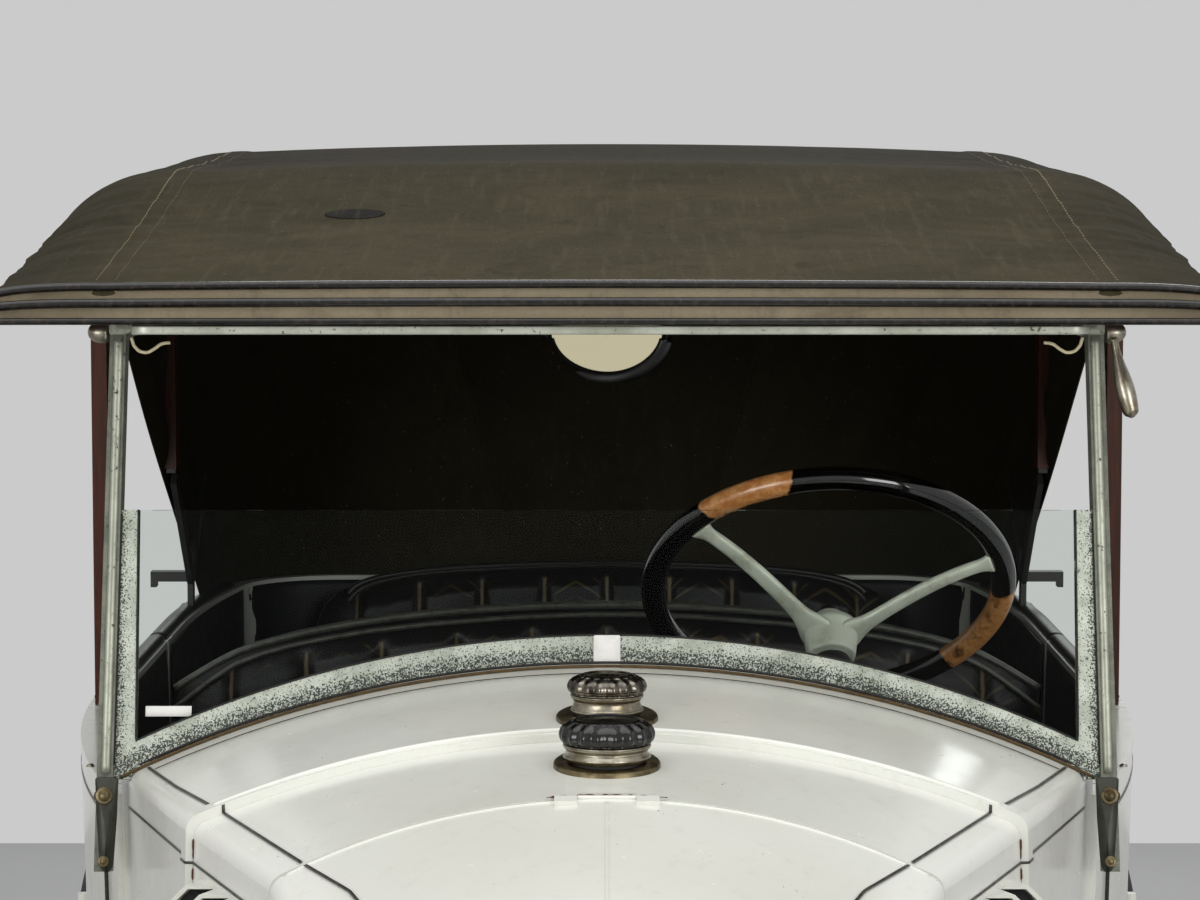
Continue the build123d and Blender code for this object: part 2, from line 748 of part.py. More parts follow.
def bonnet_ledge():
    """The ledge around the engine bay that the bonnet closes over, standing on the chassis rails."""
    keys = ("bonnet_rear", "bonnet_mid", "bonnet_front", "nose", "nose_tip")
    top = bonnet_foot - bonnet_gap
    tip_y = front_body["nose_tip"]["y"]
    with BuildPart() as room:
        add(front_solid(keys, inset=60))
        add(block((-body_half, body_half), (tip_y - 1, tip_y + 24), (0, body_top)), mode=Mode.SUBTRACT)
    with BuildPart() as ring:
        add(front_solid(keys))
        add(room.part, mode=Mode.SUBTRACT)
        add(block((-body_half, body_half), (tip_y, front_body["bonnet_rear"]["y"] - seat),
                  (body_bottom, top)), mode=Mode.INTERSECT)
    return ring.part


def arch_space(radius, inner):
    """The space of the left rear wheel arch: round about the axle, then forward and down along the wing."""
    angle = radians(180 - wing_leave_angle)
    start = (rear_axle_y + radius * cos(angle), tyre_radius + radius * sin(angle))
    length = 400
    slope = radians(90 - wing_leave_angle)
    lead = (start[0] - length * cos(slope), start[1] - length * sin(slope))
    with BuildPart() as space:
        with BuildSketch(Plane.YZ.offset(inner)):
            with Locations((rear_axle_y, tyre_radius)):
                Circle(radius)
            with BuildLine():
                Polyline(start, lead, (rear_axle_y, lead[1]), (rear_axle_y, tyre_radius), close=True)
            make_face()
        extrude(amount=overall_half_width + 60 - inner)
    return space.part


def hinge(y, side, for_door):
    """Half of each hinge on one left pillar; side is -1 where the door lies ahead of its hinge, else +1."""
    axis_x = body_half_at(y) + hinge_out
    root_x = axis_x - hinge_out - 12
    root_y = y + (side if for_door else -side) * hinge_arm
    with BuildPart() as halves:
        for height in hinge_heights:
            low = height + seat / 2 if for_door else height - hinge_length - seat / 2
            with BuildSketch(Plane.XY.offset(low)):
                with Locations((axis_x, y)):
                    Circle(hinge_radius)
                with BuildLine():
                    Polyline(
                        (axis_x, y - 5), (axis_x, y + 5), (root_x, root_y + 5), (root_x, root_y - 5),
                        close=True,
                    )
                make_face()
            extrude(amount=hinge_length)
    return halves.part


front_hinge_y = front_door_y[1] + shut_gap / 2
rear_hinge_y = rear_door_y[0] - shut_gap / 2
door_rows = (
    dict(name="door_front", y=front_door_y, slants=(front_door_slant, 0), hinge_y=front_hinge_y, side=-1),
    dict(name="door_rear", y=rear_door_y, slants=(0, rear_door_slant), hinge_y=rear_hinge_y, side=1),
)


def body_shell():
    """The body's wall all round, before its openings are cut."""
    with BuildPart() as shell:
        add(body_solid())
        add(body_solid(wall, extra=20), mode=Mode.SUBTRACT)
    return shell.part


def body_tub(shell):
    """The body tub: the shell less its door openings and rear wheel arches, with its hinge halves."""
    cuts = [door_space(row["y"], shut_gap, row["slants"]) for row in door_rows]
    cuts.append(arch_space(wing_radius + wing_crown + seat, wing_inner - seat))
    tub = shell
    for cut in cuts:
        tub -= both_sides(cut)
    for row in door_rows:
        tub += both_sides(hinge(row["hinge_y"], row["side"], for_door=False))
    return tub


def door(shell, row):
    """One left door cut from the body's own wall, with its hinge halves."""
    panel = shell & door_space(row["y"], 0, row["slants"])
    return panel + hinge(row["hinge_y"], row["side"], for_door=True)


def floor():
    """The floor board, inside the body and scuttle, cut for the wheel arches and the steering column."""
    slab = block((-body_half, body_half), (rib_y + 4, body_tail_y), (body_bottom, body_bottom + floor_sheet))
    joint_half = body_front_half - body_lean_in - wall - 20
    with BuildPart() as board:
        add(body_solid(wall + seat, extra=20))
        add(front_solid(("screen", "rib"), inset=scuttle_wall + seat))
        add(block((-joint_half, joint_half), (body_front_y - 5, body_front_y + 5), (0, body_top)))
        add(slab, mode=Mode.INTERSECT)
        add(both_sides(arch_space(wing_radius + wing_crown + seat, wing_inner - seat)), mode=Mode.SUBTRACT)
    low, high = column_point(column_length), column_point(0)
    return board.part - rod(low, high, column_radius + 8)


def dashboard():
    """The wooden dash across the scuttle."""
    with BuildPart() as board:
        add(front_solid(("screen", "rib"), inset=scuttle_wall + seat))
        room = block((-body_half, body_half), (dash_y, dash_y + dash_sheet), (dash_bottom, 2 * body_top))
        add(room, mode=Mode.INTERSECT)
    return board.part


def seat_space():
    """The room the seats may fill inside the body."""
    return body_solid(wall + seat_clear, extra=140)


def seat_box(y_range, top, half):
    """A wooden seat box standing on the floor."""
    return block((-half, half), y_range, (body_bottom + floor_sheet + seat, top - seat))


def seat_boxes():
    """The front and rear seat boxes."""
    front = seat_box(front_box_y, front_cushion_z[0], front_seat_half - 10)
    rear = seat_box(rear_box_y, rear_cushion_z[0], rear_seat_half)
    return (front + rear) & seat_space()


def cushion(y_range, z_range, half):
    """A seat cushion with rounded edges."""
    with BuildPart() as pad:
        add(block((-half, half), y_range, z_range))
        fillet(pad.edges().filter_by(Axis.X).group_by(Axis.Z)[-1], radius=34)
    return pad.part & seat_space()


def seat_back(y_points, low, z_points, half):
    """A seat back: leaning front face, round top edge, its top arched across the car."""
    front_low, front_top, rear = y_points
    side_z, crown_z = z_points
    with BuildPart() as back:
        with BuildSketch(Plane.YZ.offset(-half)):
            with BuildLine():
                Polyline((front_low, low), (front_top, crown_z), (rear, crown_z), (rear, low), close=True)
            make_face()
        extrude(amount=2 * half)
        with BuildSketch(Plane.XZ):
            with BuildLine():
                Polyline((-half, side_z), (-half, low), (half, low), (half, side_z))
                ThreePointArc((half, side_z), (0, crown_z), (-half, side_z))
            make_face()
        extrude(amount=-2 * body_tail_y, mode=Mode.INTERSECT)
    return back.part & seat_space()


screen_plane = Plane(
    (0, screen_base_y, screen_base_z), x_dir=(1, 0, 0),
    z_dir=(0, -cos(radians(screen_rake)), sin(radians(screen_rake))),
)


def up_rake(z):
    """The distance up the raked windscreen at a height."""
    return (z - screen_base_z) / cos(radians(screen_rake))


def post_inner(z):
    """The half width between the posts at a height; they draw together towards the header."""
    return pillar_inner - pillar_lean * (z - screen_base_z) / (header_z - screen_base_z)


post_top_z = header_z + 14
pane_half = pillar_inner - screen_channel
pane_side_z = front_body["screen"]["side_z"] + 30
pane_mid_z = front_body["screen"]["crown_z"] + screen_channel
pivot_y = screen_base_y + (header_z - screen_base_z) * tan(radians(screen_rake)) - pillar_depth / 2
upper_pane_y = (pivot_y - 6, pivot_y - 6 + upper_pane_depth)


def pane_outline(clearance, top_z):
    """The lower pane's outline on the raked plane: arched foot, straight sides and top."""
    half = pane_half - clearance
    low, mid, top = up_rake(pane_side_z) + clearance, up_rake(pane_mid_z) + clearance, up_rake(top_z)
    with BuildSketch() as outline:
        with BuildLine():
            ThreePointArc((-half, low), (0, mid), (half, low))
            Polyline((half, low), (half, top), (-half, top), (-half, low))
        make_face()
    return outline.sketch


def windscreen_frame():
    """The two raked posts and the channel around the lower pane, standing on the scuttle."""
    foot_z, top_z = screen_base_z - 90, post_top_z + 20
    with BuildPart() as frame:
        with BuildSketch(screen_plane):
            with BuildLine():
                Polyline(
                    (post_inner(foot_z), up_rake(foot_z)), (post_inner(top_z), up_rake(top_z)),
                    (post_inner(top_z) + pillar_width, up_rake(top_z)),
                    (post_inner(foot_z) + pillar_width, up_rake(foot_z)), close=True,
                )
            make_face()
            mirror(about=Plane.YZ)
        extrude(amount=pillar_depth)
        with BuildSketch(screen_plane.offset((pillar_depth - screen_channel_depth) / 2)):
            with Locations((0, up_rake(screen_split_z) / 2)):
                Rectangle(2 * pillar_inner, up_rake(screen_split_z))
            add(pane_outline(0, screen_split_z + 100), mode=Mode.SUBTRACT)
        extrude(amount=screen_channel_depth)
        add(front_solid(("screen", "rib"), inset=-seat), mode=Mode.SUBTRACT)
        add(block((-pane_half - 12, pane_half + 12), (nose_y, 0), (0, screen_base_z)), mode=Mode.SUBTRACT)
        add(block((-body_half, body_half), (nose_y, 0), (post_top_z, 2 * body_top)), mode=Mode.SUBTRACT)
    return frame.part


def upper_pane():
    """The upper pane's frame, swung in level behind the posts, with a pivot pin at each end."""
    hole_half = upper_pane_half - upper_pane_rim
    hole_y = (upper_pane_y[0] + upper_pane_rim, upper_pane_y[1] - upper_pane_rim)
    pin_ends = (upper_pane_half - 4, post_inner(header_z) - seat)
    with BuildPart() as pane:
        add(block((-upper_pane_half, upper_pane_half), upper_pane_y, (header_z - 4, header_z + 4)))
        add(block((-hole_half, hole_half), hole_y, (0, 2 * header_z)), mode=Mode.SUBTRACT)
        add(both_sides(rod(*[(x, pivot_y, header_z) for x in pin_ends], 5)))
    return pane.part


def windscreen_glass():
    """The two panes: the lower one in its channel, the upper one in its swung-in frame."""
    with BuildPart() as lower:
        with BuildSketch(screen_plane.offset((pillar_depth - glass) / 2)):
            add(pane_outline(seat, screen_split_z))
        extrude(amount=glass)
    edge = upper_pane_rim + seat
    upper_half = upper_pane_half - edge
    upper_y = (upper_pane_y[0] + edge, upper_pane_y[1] - edge)
    upper = block((-upper_half, upper_half), upper_y, (header_z - 2.5, header_z + 2.5))
    return lower.part + upper


def hood_fabric():
    """The cloth hood: roof, front hem, side falls, quarters and rear curtain with its oval window."""
    hem = (hood["header"]["y"] - 10, hood_hem_z)
    with BuildPart() as cloth:
        add(hood_solid())
        add(hood_solid(hood_sheet), mode=Mode.SUBTRACT)
        with BuildSketch(Plane.YZ.offset(-overall_half_width)):
            with BuildLine():
                Polyline((hem[0], 0), hem, *hood_side_edge, (hood_side_edge[-1][0], 0), close=True)
            make_face()
        extrude(amount=2 * overall_half_width, mode=Mode.SUBTRACT)
        with BuildSketch(Plane.XZ.offset(-hood_tail_y - 50)):
            with Locations((0, rear_window_z)):
                Ellipse(*rear_window_half)
        extrude(amount=100, mode=Mode.SUBTRACT)
    return cloth.part


def hood_bows(ring):
    """The wooden header board and three bows that follow the cloth; the first stands on the door pillars."""
    wide = (-overall_half_width, overall_half_width)
    low = {bow_places[0]: body_top + seat, bow_places[1]: second_bow_z, rear_bow_y: rear_bow_z}
    half = bow_width / 2
    bows = [ring & block(wide, (y - half, y + half), (z, 2 * body_top)) for y, z in low.items()]
    header_low = post_top_z + seat
    header = hood_solid(hood_sheet + seat) & block(wide, header_y, (header_low, header_low + header_board))
    return bows[0] + bows[1] + bows[2] + header


def hood_irons():
    """The two steel hood brackets on the body sides: foot, leg and outward rest, with stays to two bows."""
    x_range = (body_half - wall + 1, body_half - wall + 1 + hood_iron)
    mid_x, top_z = sum(x_range) / 2, hood_rest_z[1]
    leg_y = (hood_leg_y - hood_rest_width / 2, hood_leg_y + hood_rest_width / 2)
    bow_x = body_half_at(rear_bow_y) - hood_sheet - bow_depth + 2
    shoe_y = (bow_places[1] - bow_width / 2, bow_places[1] + bow_width / 2)
    shoe_z = (second_bow_z - seat - 6, second_bow_z - seat)
    pivot = (mid_x, hood_leg_y, top_z - 10)
    rest_end = x_range[0] + hood_rest_reach
    with BuildPart() as irons:
        add(block(x_range, leg_y, (body_top + seat, top_z)))
        add(block((x_range[0], x_range[0] + 20), (hood_leg_y - hood_foot_half, hood_leg_y + hood_foot_half),
                  (body_top + seat, body_top + 6)))
        add(block((x_range[0], rest_end), leg_y, hood_rest_z))
        add(block((rest_end - hood_iron, rest_end), leg_y, (hood_rest_z[0] - 8, hood_rest_z[1])))
        add(block((x_range[0], x_range[0] + 12), shoe_y, shoe_z))
        add(bar((mid_x, bow_places[1], shoe_z[0] - 6), pivot, hood_iron, hood_iron_height))
        add(block((bow_x - hood_iron / 2, bow_x + hood_iron / 2), (rear_bow_y - 14, rear_bow_y + 6),
                  (rear_bow_z - 40, rear_bow_z - seat)))
        add(bar(pivot, (bow_x, rear_bow_y - 6, rear_bow_z - 24), hood_iron, hood_iron_height))
    return both_sides(irons.part)


def column_point(distance):
    """A point down the steering column from the middle of the wheel's rim."""
    rake = radians(column_rake)
    x, y, z = wheel_centre
    return (x, y - distance * cos(rake), z - distance * sin(rake))


column_length = (wheel_centre[2] - steering_box_z) / sin(radians(column_rake))


def steering_wheel():
    """The steering wheel: round rim, hub below it and three spokes."""
    rake = radians(column_rake)
    face = Plane(wheel_centre, x_dir=(1, 0, 0), z_dir=(0, cos(rake), sin(rake)))
    with BuildPart() as wheel:
        Torus(wheel_rim_radius, wheel_rim_tube)
        with BuildSketch(Plane.XY.offset(-wheel_dish - wheel_hub_height / 2)):
            Circle(wheel_hub_radius)
        extrude(amount=wheel_hub_height)
        for angle in spoke_angles:
            turn = radians(angle)
            reach = wheel_rim_radius - wheel_rim_tube / 2
            inner = (20 * cos(turn), 20 * sin(turn), -wheel_dish)
            outer = (reach * cos(turn), reach * sin(turn), 0)
            along = Vector(*outer) - Vector(*inner)
            with BuildSketch(Plane(inner, x_dir=(-sin(turn), cos(turn), 0), z_dir=along)):
                Rectangle(spoke_width, spoke_thickness)
            extrude(amount=along.length)
    return face.location * wheel.part


def steering_column():
    """The column from under the steering wheel's hub to the steering box on the left rail."""
    start = column_point(wheel_dish + wheel_hub_height / 2 + seat)
    end = column_point(column_length)
    x, y, z = end
    tube = rod(start, end, column_radius)
    box = block((x - 36, rail_outer - rail_width - seat), (y - 40, y + 50), (z - 40, z + 40))
    return tube + box


def wing_section(plane, up):
    """A wing's cross section: crowned sheet with a lip along its outer edge."""
    inner, outer = wing_inner, overall_half_width
    mid = (inner + outer) / 2
    with BuildSketch(plane) as section:
        with BuildLine():
            ThreePointArc((inner, 0), (mid, up * wing_crown), (outer, 0))
            Polyline((outer, 0), (outer, -up * wing_lip), (outer - wing_sheet, -up * wing_lip),
                     (outer - wing_sheet, -up * wing_sheet))
            ThreePointArc((outer - wing_sheet, -up * wing_sheet), (mid, up * (wing_crown - wing_sheet)),
                          (inner, -up * wing_sheet))
            Line((inner, -up * wing_sheet), (inner, 0))
        make_face()
    return section.sketch


def wing_run():
    """The slope of a wing's straight part, its length, and its reach from the axle to the running board."""
    slope = pi / 2 - radians(wing_leave_angle)
    drop = tyre_radius + wing_radius * cos(slope) - board_top - wing_foot_radius * (1 - cos(slope))
    reach = wing_radius * sin(slope) + drop / tan(slope) + wing_foot_radius * sin(slope)
    return slope, drop / sin(slope), reach


def wing(axle_y, direction, end_angle):
    """One left wing: turned round the wheel, straight down its slope, turned level onto the running board."""
    slope, length, reach = wing_run()
    along = Vector(0, direction * cos(slope), -sin(slope))
    leave = Vector(0, axle_y + direction * wing_radius * sin(slope), tyre_radius + wing_radius * cos(slope))
    leave_plane = Plane(leave, x_dir=(1, 0, 0), z_dir=along)
    foot_plane = Plane(leave + along * length, x_dir=(1, 0, 0), z_dir=along)
    foot_centre = (0, axle_y + direction * reach, board_top + wing_foot_radius)
    turn = (direction, 0, 0)
    with BuildPart() as strip:
        add(wing_section(leave_plane, -direction))
        revolve(axis=Axis((0, axle_y, tyre_radius), turn), revolution_arc=end_angle - wing_leave_angle)
        extrude(wing_section(leave_plane, -direction), amount=length)
        add(wing_section(foot_plane, -direction))
        revolve(axis=Axis(foot_centre, turn), revolution_arc=degrees(slope))
    return strip.part


def front_wings():
    """The two front wings with their stays from the chassis rails."""
    strip = wing(front_axle_y, 1, wing_front_angle)
    top_z = tyre_radius + wing_radius - wing_sheet - stay_radius + 3
    low_z = rail_top - 30
    y = front_stay_y
    stays = rod((rail_outer + seat, y, low_z), (stay_x + stay_radius, y, low_z), stay_radius)
    stays += rod((stay_x, y, low_z - stay_radius), (stay_x, y, top_z + stay_radius), stay_radius)
    stays += rod((stay_x, y, top_z), (wing_inner + 12, y, top_z), stay_radius)
    rear_stay = [(x, rear_stay_y, rear_stay_z) for x in (rail_outer + seat, wing_inner + 30)]
    stays += rod(*rear_stay, stay_radius)
    return both_sides(strip + stays)


def rear_wings():
    """The two rear wings with the inner plates that close their arches against the body."""
    strip = wing(rear_axle_y, -1, 180 - rear_wing_end_angle)
    with BuildPart() as plate:
        with BuildSketch(Plane.YZ.offset(wing_inner)):
            with Locations((rear_axle_y, tyre_radius)):
                Circle(wing_radius - 1)
            below = 3 * wing_radius
            with Locations((rear_axle_y, body_bottom + seat - below / 2)):
                Rectangle(below, below, mode=Mode.SUBTRACT)
        extrude(amount=wing_sheet)
    return both_sides(strip + plate.part)


def board_ends():
    """The places where the running boards meet the front and rear wings."""
    reach = wing_run()[2]
    return front_axle_y + reach, rear_axle_y - reach


def running_boards():
    """The two running boards with their valances up to the sill and brackets from the rails."""
    front, rear = board_ends()
    deck_z, sheet_z = (board_top - board_thick, board_top), (board_top - 4, body_bottom - seat)
    deck = block((board_inner, overall_half_width), (front + seat, rear - seat), deck_z)
    sheet = block((board_inner, board_inner + valance_sheet), (body_front_y + 20, rear - seat), sheet_z)
    parts = deck + sheet
    low = board_top - board_thick
    for share in board_bracket_shares:
        y = front + share * (rear - front)
        parts += block((rail_outer + seat, rail_outer + 12), (y - 15, y + 15), (low - 12, rail_top - 20))
        parts += block((rail_outer + seat, overall_half_width - 30), (y - 15, y + 15), (low - 12, low))
    return both_sides(parts)


def headlamps():
    """Two bowl headlamps, open in front, on posts from the chassis rails."""
    x, y, z = lamp_centre
    mid_radius, mid_depth = 0.75 * lamp_radius, 0.62 * lamp_depth
    with BuildPart() as bowl:
        with BuildSketch(Plane.XY):
            with BuildLine():
                ThreePointArc((0, lamp_depth), (mid_radius, mid_depth), (lamp_radius, 0))
                Polyline((lamp_radius, 0), (lamp_radius - lamp_sheet, 0))
                ThreePointArc(
                    (lamp_radius - lamp_sheet, 0), (mid_radius - lamp_sheet, mid_depth - lamp_sheet),
                    (0, lamp_depth - lamp_sheet),
                )
                Line((0, lamp_depth - lamp_sheet), (0, lamp_depth))
            make_face()
        revolve(axis=Axis.Y)
    post_y = y + lamp_depth / 3
    post = rod((rail_mid_x, post_y, rail_top + seat), (rail_mid_x, post_y, z), lamp_post_radius)
    arm = rod((rail_mid_x, post_y, z), (x - lamp_radius + 24, post_y, z), lamp_post_radius)
    foot_x = (rail_mid_x - lamp_foot, rail_mid_x + lamp_foot)
    foot = block(foot_x, (post_y - 30, post_y + 30), (rail_top + seat, rail_top + 8))
    return both_sides(Pos(x, y, z) * bowl.part + post + arm + foot)


def headlamp_lenses():
    """The two round headlamp glasses, set just inside their rims."""
    x, y, z = lamp_centre
    lens = rod((x, y, z), (x, y + lamp_lens, z), lamp_radius - lamp_sheet - 1)
    return both_sides(lens)


def crown_height(y):
    """The height of the front body's crown at a place between the windscreen and the bonnet."""
    keys = ("screen", "rib") if y > rib_y else ("rib", "bonnet_rear")
    return section_at(keys, y, "crown_z")


def filler_caps():
    """The fuel filler cap behind the rib and the radiator filler cap ahead of it."""
    caps = None
    for row in cap_rows:
        y, base = row["y"], crown_height(row["y"]) - 5
        with BuildPart() as cap:
            with BuildSketch(Plane.XZ):
                with BuildLine():
                    top = base + 5 + cap_flange + cap_neck
                    Polyline(
                        (0, base), (cap_flange_radius, base), (cap_flange_radius, base + 5 + cap_flange),
                        (cap_neck_radius, base + 5 + cap_flange), (cap_neck_radius, top), (row["knob"], top),
                        (row["knob"], top + cap_height), (0, top + cap_height), close=True,
                    )
                make_face()
            revolve(axis=Axis.Z)
        placed = Pos(0, y, 0) * cap.part - front_solid(("screen", "rib", "bonnet_rear"), inset=-seat)
        caps = placed if caps is None else caps + placed
    return caps


def spare_carrier():
    """The carrier for the spare wheel, across the rails' rear ends."""
    low, high = carrier_z
    end = spare_y - hub_length / 2
    beam = block((-rail_outer, rail_outer), carrier_y, carrier_z)
    upright = block((-34, 34), carrier_y, (low, spare_z + 44))
    collar = rod((0, carrier_y[1] - 2, spare_z), (0, end - seat, spare_z), hub_radius - 6)
    boss = rod((0, carrier_y[1], spare_z), (0, spare_y + hub_length / 2 - 2, spare_z), hub_bore - seat)
    return beam + upright + collar + boss


save(chassis_frame() + bonnet_ledge(), "chassis_frame")
save(road_springs(), "road_springs")
save(front_axle(), "front_axle")
save(rear_axle(), "rear_axle")
save(engine(), "engine")
save(radiator(), "radiator")

left_knuckle = knuckle()
save(left_knuckle, "knuckle_left")
save(mirror(left_knuckle, about=Plane.YZ), "knuckle_right")

wheel_rows = (
    dict(name="front_left", x=wheel_x, y=front_axle_y),
    dict(name="front_right", x=-wheel_x, y=front_axle_y),
    dict(name="rear_left", x=wheel_x, y=rear_axle_y),
    dict(name="rear_right", x=-wheel_x, y=rear_axle_y),
)
for wheel_row in wheel_rows:
    save(disc_wheel(wheel_row["x"], wheel_row["y"]), f"wheel_{wheel_row['name']}")
    save(tyre(wheel_row["x"], wheel_row["y"]), f"tyre_{wheel_row['name']}")
save(disc_wheel(0, spare_y, spare_z, turned=True), "spare_wheel")
save(tyre(0, spare_y, spare_z, turned=True), "spare_tyre")

save(scuttle(), "scuttle")
save(radiator_cowl(), "radiator_cowl")
save(bonnet(), "bonnet")
save(filler_caps(), "filler_caps")

wall_all_round = body_shell()
save(body_tub(wall_all_round), "body_tub")
for door_row in door_rows:
    left_door = door(wall_all_round, door_row)
    save(left_door, f"{door_row['name']}_left")
    save(mirror(left_door, about=Plane.YZ), f"{door_row['name']}_right")
save(floor() + seat_boxes(), "floor")
save(dashboard(), "dashboard")
save(cushion(front_cushion_y, front_cushion_z, front_seat_half), "front_cushion")
save(seat_back(front_back_y, front_cushion_z[0], front_back_z, front_seat_half), "front_back")
save(cushion(rear_cushion_y, rear_cushion_z, rear_seat_half), "rear_cushion")
save(seat_back(rear_back_y, rear_cushion_z[0], rear_back_z, body_half), "rear_back")

save(windscreen_frame(), "windscreen_frame")
save(upper_pane(), "upper_pane")
save(windscreen_glass() + headlamp_lenses(), "glass_panes")
save(hood_fabric(), "hood_fabric")
hood_ring = hood_solid(hood_sheet + seat) - hood_solid(hood_sheet + seat + bow_depth)
save(hood_bows(hood_ring), "hood_bows")
save(hood_irons(), "hood_irons")
save(steering_wheel(), "steering_wheel")
save(steering_column(), "steering_column")

save(front_wings(), "front_wings")
save(rear_wings(), "rear_wings")
save(running_boards(), "running_boards")
save(headlamps(), "headlamps")
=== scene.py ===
"""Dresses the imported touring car: cloth hood, leather seats, enamel, plated fittings, tyres and the stage."""

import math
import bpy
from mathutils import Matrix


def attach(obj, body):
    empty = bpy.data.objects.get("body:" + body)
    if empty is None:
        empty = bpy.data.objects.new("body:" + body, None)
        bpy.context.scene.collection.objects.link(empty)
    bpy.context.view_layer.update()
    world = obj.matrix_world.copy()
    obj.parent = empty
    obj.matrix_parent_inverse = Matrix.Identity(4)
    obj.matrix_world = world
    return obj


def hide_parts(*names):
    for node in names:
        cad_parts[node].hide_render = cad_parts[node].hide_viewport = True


bl_info = {
    "name": "Vintage touring car dressing",
    "version": (1, 0, 0),
    "blender": (4, 5, 0),
    "location": "View3D > Sidebar > Touring car",
    "description": "Builds the soft goods, trim and finishes of an open touring car around its CAD frame",
    "category": "Object",
}

import bpy
import numpy as np
from bpy.props import FloatProperty, FloatVectorProperty, PointerProperty

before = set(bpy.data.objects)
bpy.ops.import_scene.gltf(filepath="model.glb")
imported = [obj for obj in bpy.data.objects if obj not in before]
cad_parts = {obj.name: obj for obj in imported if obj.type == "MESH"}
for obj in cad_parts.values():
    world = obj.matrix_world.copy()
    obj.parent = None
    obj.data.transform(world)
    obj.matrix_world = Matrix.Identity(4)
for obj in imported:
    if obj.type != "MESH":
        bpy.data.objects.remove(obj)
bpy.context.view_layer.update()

# Sizes that several pieces share, in metres, in the frame of the car
FRONT_BODY = np.array([
    # place, shoulder half width, foot half width, shoulder height, crown height
    (-0.2603, 0.492, 0.480, 1.158, 1.270),
    (-0.590, 0.379, 0.396, 1.162, 1.241),
    (-0.780, 0.291, 0.345, 1.152, 1.224),
    (-1.020, 0.226, 0.318, 1.104, 1.172),
    (-1.320, 0.188, 0.286, 0.984, 1.042),
    (-1.520, 0.160, 0.250, 0.826, 0.876),
    (-1.606, 0.128, 0.206, 0.668, 0.704),
])
BODY_TOP = 1.130
BODY_FOOT = 0.5853
BODY_HALF = 0.612
BODY_FRONT_HALF = 0.498
BODY_TAIL_HALF = 0.548
BODY_FRONT_Y = -0.260
FLARE_END_Y = 0.430
TAPER_START_Y = 1.000
BODY_TAIL_Y = 1.600
TAIL_CORNER = 0.170
WALL = 0.028
HOOD = np.array([
    # place, half width, crown, seam and edge heights, swell of the shoulders
    (-0.340, 0.598, 1.650, 1.647, 1.640, 0.002),
    (0.330, 0.626, 1.764, 1.753, 1.700, 0.016),
    (0.980, 0.620, 1.787, 1.776, 1.718, 0.016),
    (1.604, 0.606, 1.716, 1.704, 1.650, 0.014),
])
HEM_Y, FIRST_BOW_Y = HOOD[:2, 0]
REAR_BOW_Y = 1.400
HOOD_SEAM_X = 0.491
# Where the seams lie on the way from the roof's middle, at 0, to its edge, at 1
SEAM_AT = 0.8
CURTAIN_FOOT_Z = 1.126
CANVAS_SHEET = 0.0018
# The rear window's half width, half height and height above the ground
REAR_WINDOW = (0.077, 0.061, 1.498)
HOOD_TAIL_Y = 1.592
HEM_Z = 1.6125
SCREEN_RAKE = math.radians(10)
PANE_HALF = 0.471
PANE_MID_Z = 1.292
PANE_RISE = 0.104
PANE_TOP_Z = 1.416
# The joint between a windscreen post and the channel: half the room between the posts, and their lean inwards
POST_INNER = 0.4923
POST_LEAN = 0.0179
SCREEN_Y = -0.285
SCREEN_Z = 1.150
PLEAT = 0.0945
TYRE_RADIUS = 0.365


def linear(hex_colour):
    """An sRGB hex colour as linear red, green, blue and full alpha; a setting's colour is linear already."""
    if not isinstance(hex_colour, str):
        return tuple(hex_colour)
    value = np.array([int(hex_colour[i:i + 2], 16) for i in (1, 3, 5)]) / 255.0
    return (*np.where(value <= 0.04045, value / 12.92, ((value + 0.055) / 1.055) ** 2.4).tolist(), 1.0)


def build_mesh(name, points, quads=None, uv=None, loops=None, starts=None, check=False):
    """A smooth mesh from points and four-sided faces, or from loops and where each face starts in them."""
    if quads is not None:
        loops = quads.reshape(-1)
        starts = np.arange(0, quads.size, 4)
    mesh = bpy.data.meshes.new(name)
    mesh.vertices.add(points.size // 3)
    mesh.vertices.foreach_set("co", points.reshape(-1).astype(np.float32))
    mesh.loops.add(len(loops))
    mesh.loops.foreach_set("vertex_index", loops.astype(np.int32))
    mesh.polygons.add(len(starts))
    mesh.polygons.foreach_set("loop_start", starts.astype(np.int32))
    mesh.polygons.foreach_set("use_smooth", np.ones(len(starts), dtype=bool))
    mesh.update()
    if check:
        mesh.validate()
    layer = mesh.uv_layers.new(name="UVMap")
    if uv is not None and 2 * len(layer.data) == uv.size:
        layer.data.foreach_set("uv", uv.reshape(-1).astype(np.float32))
    return mesh


def read_layer(layer, key, width, kind=np.float32):
    """All values of one kind in a mesh's layer, one after another."""
    values = np.empty(len(layer) * width, kind)
    layer.foreach_get(key, values)
    return values


def grid_mesh(name, points, wrap_u=False, wrap_v=False, flip=False):
    """A mesh from a grid of points: rows run along the first index, and both directions may close."""
    nu, nv = points.shape[:2]
    a, b = np.meshgrid(np.arange(nu if wrap_u else nu - 1), np.arange(nv if wrap_v else nv - 1), indexing="ij")
    a2, b2 = (a + 1) % nu, (b + 1) % nv
    quads = spread(a * nv + b, a2 * nv + b, a2 * nv + b2, a * nv + b2).reshape(-1, 4)
    if flip:
        quads = quads[:, ::-1]
    u, v = np.meshgrid(np.linspace(0, 1, nu), np.linspace(0, 1, nv), indexing="ij")
    uv = spread(u, v).reshape(-1, 2)[quads.reshape(-1)]
    return build_mesh(name, points, quads, uv, check=True)


def place_piece(mesh, finish, replaces=(), body="car"):
    """Puts a mesh in the scene as a piece that rides on a body, with its finish."""
    piece = bpy.data.objects.new(mesh.name, mesh)
    bpy.context.scene.collection.objects.link(piece)
    mesh.materials.append(FINISH[finish])
    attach(piece, body)
    if replaces:
        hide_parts(*replaces)
    return piece


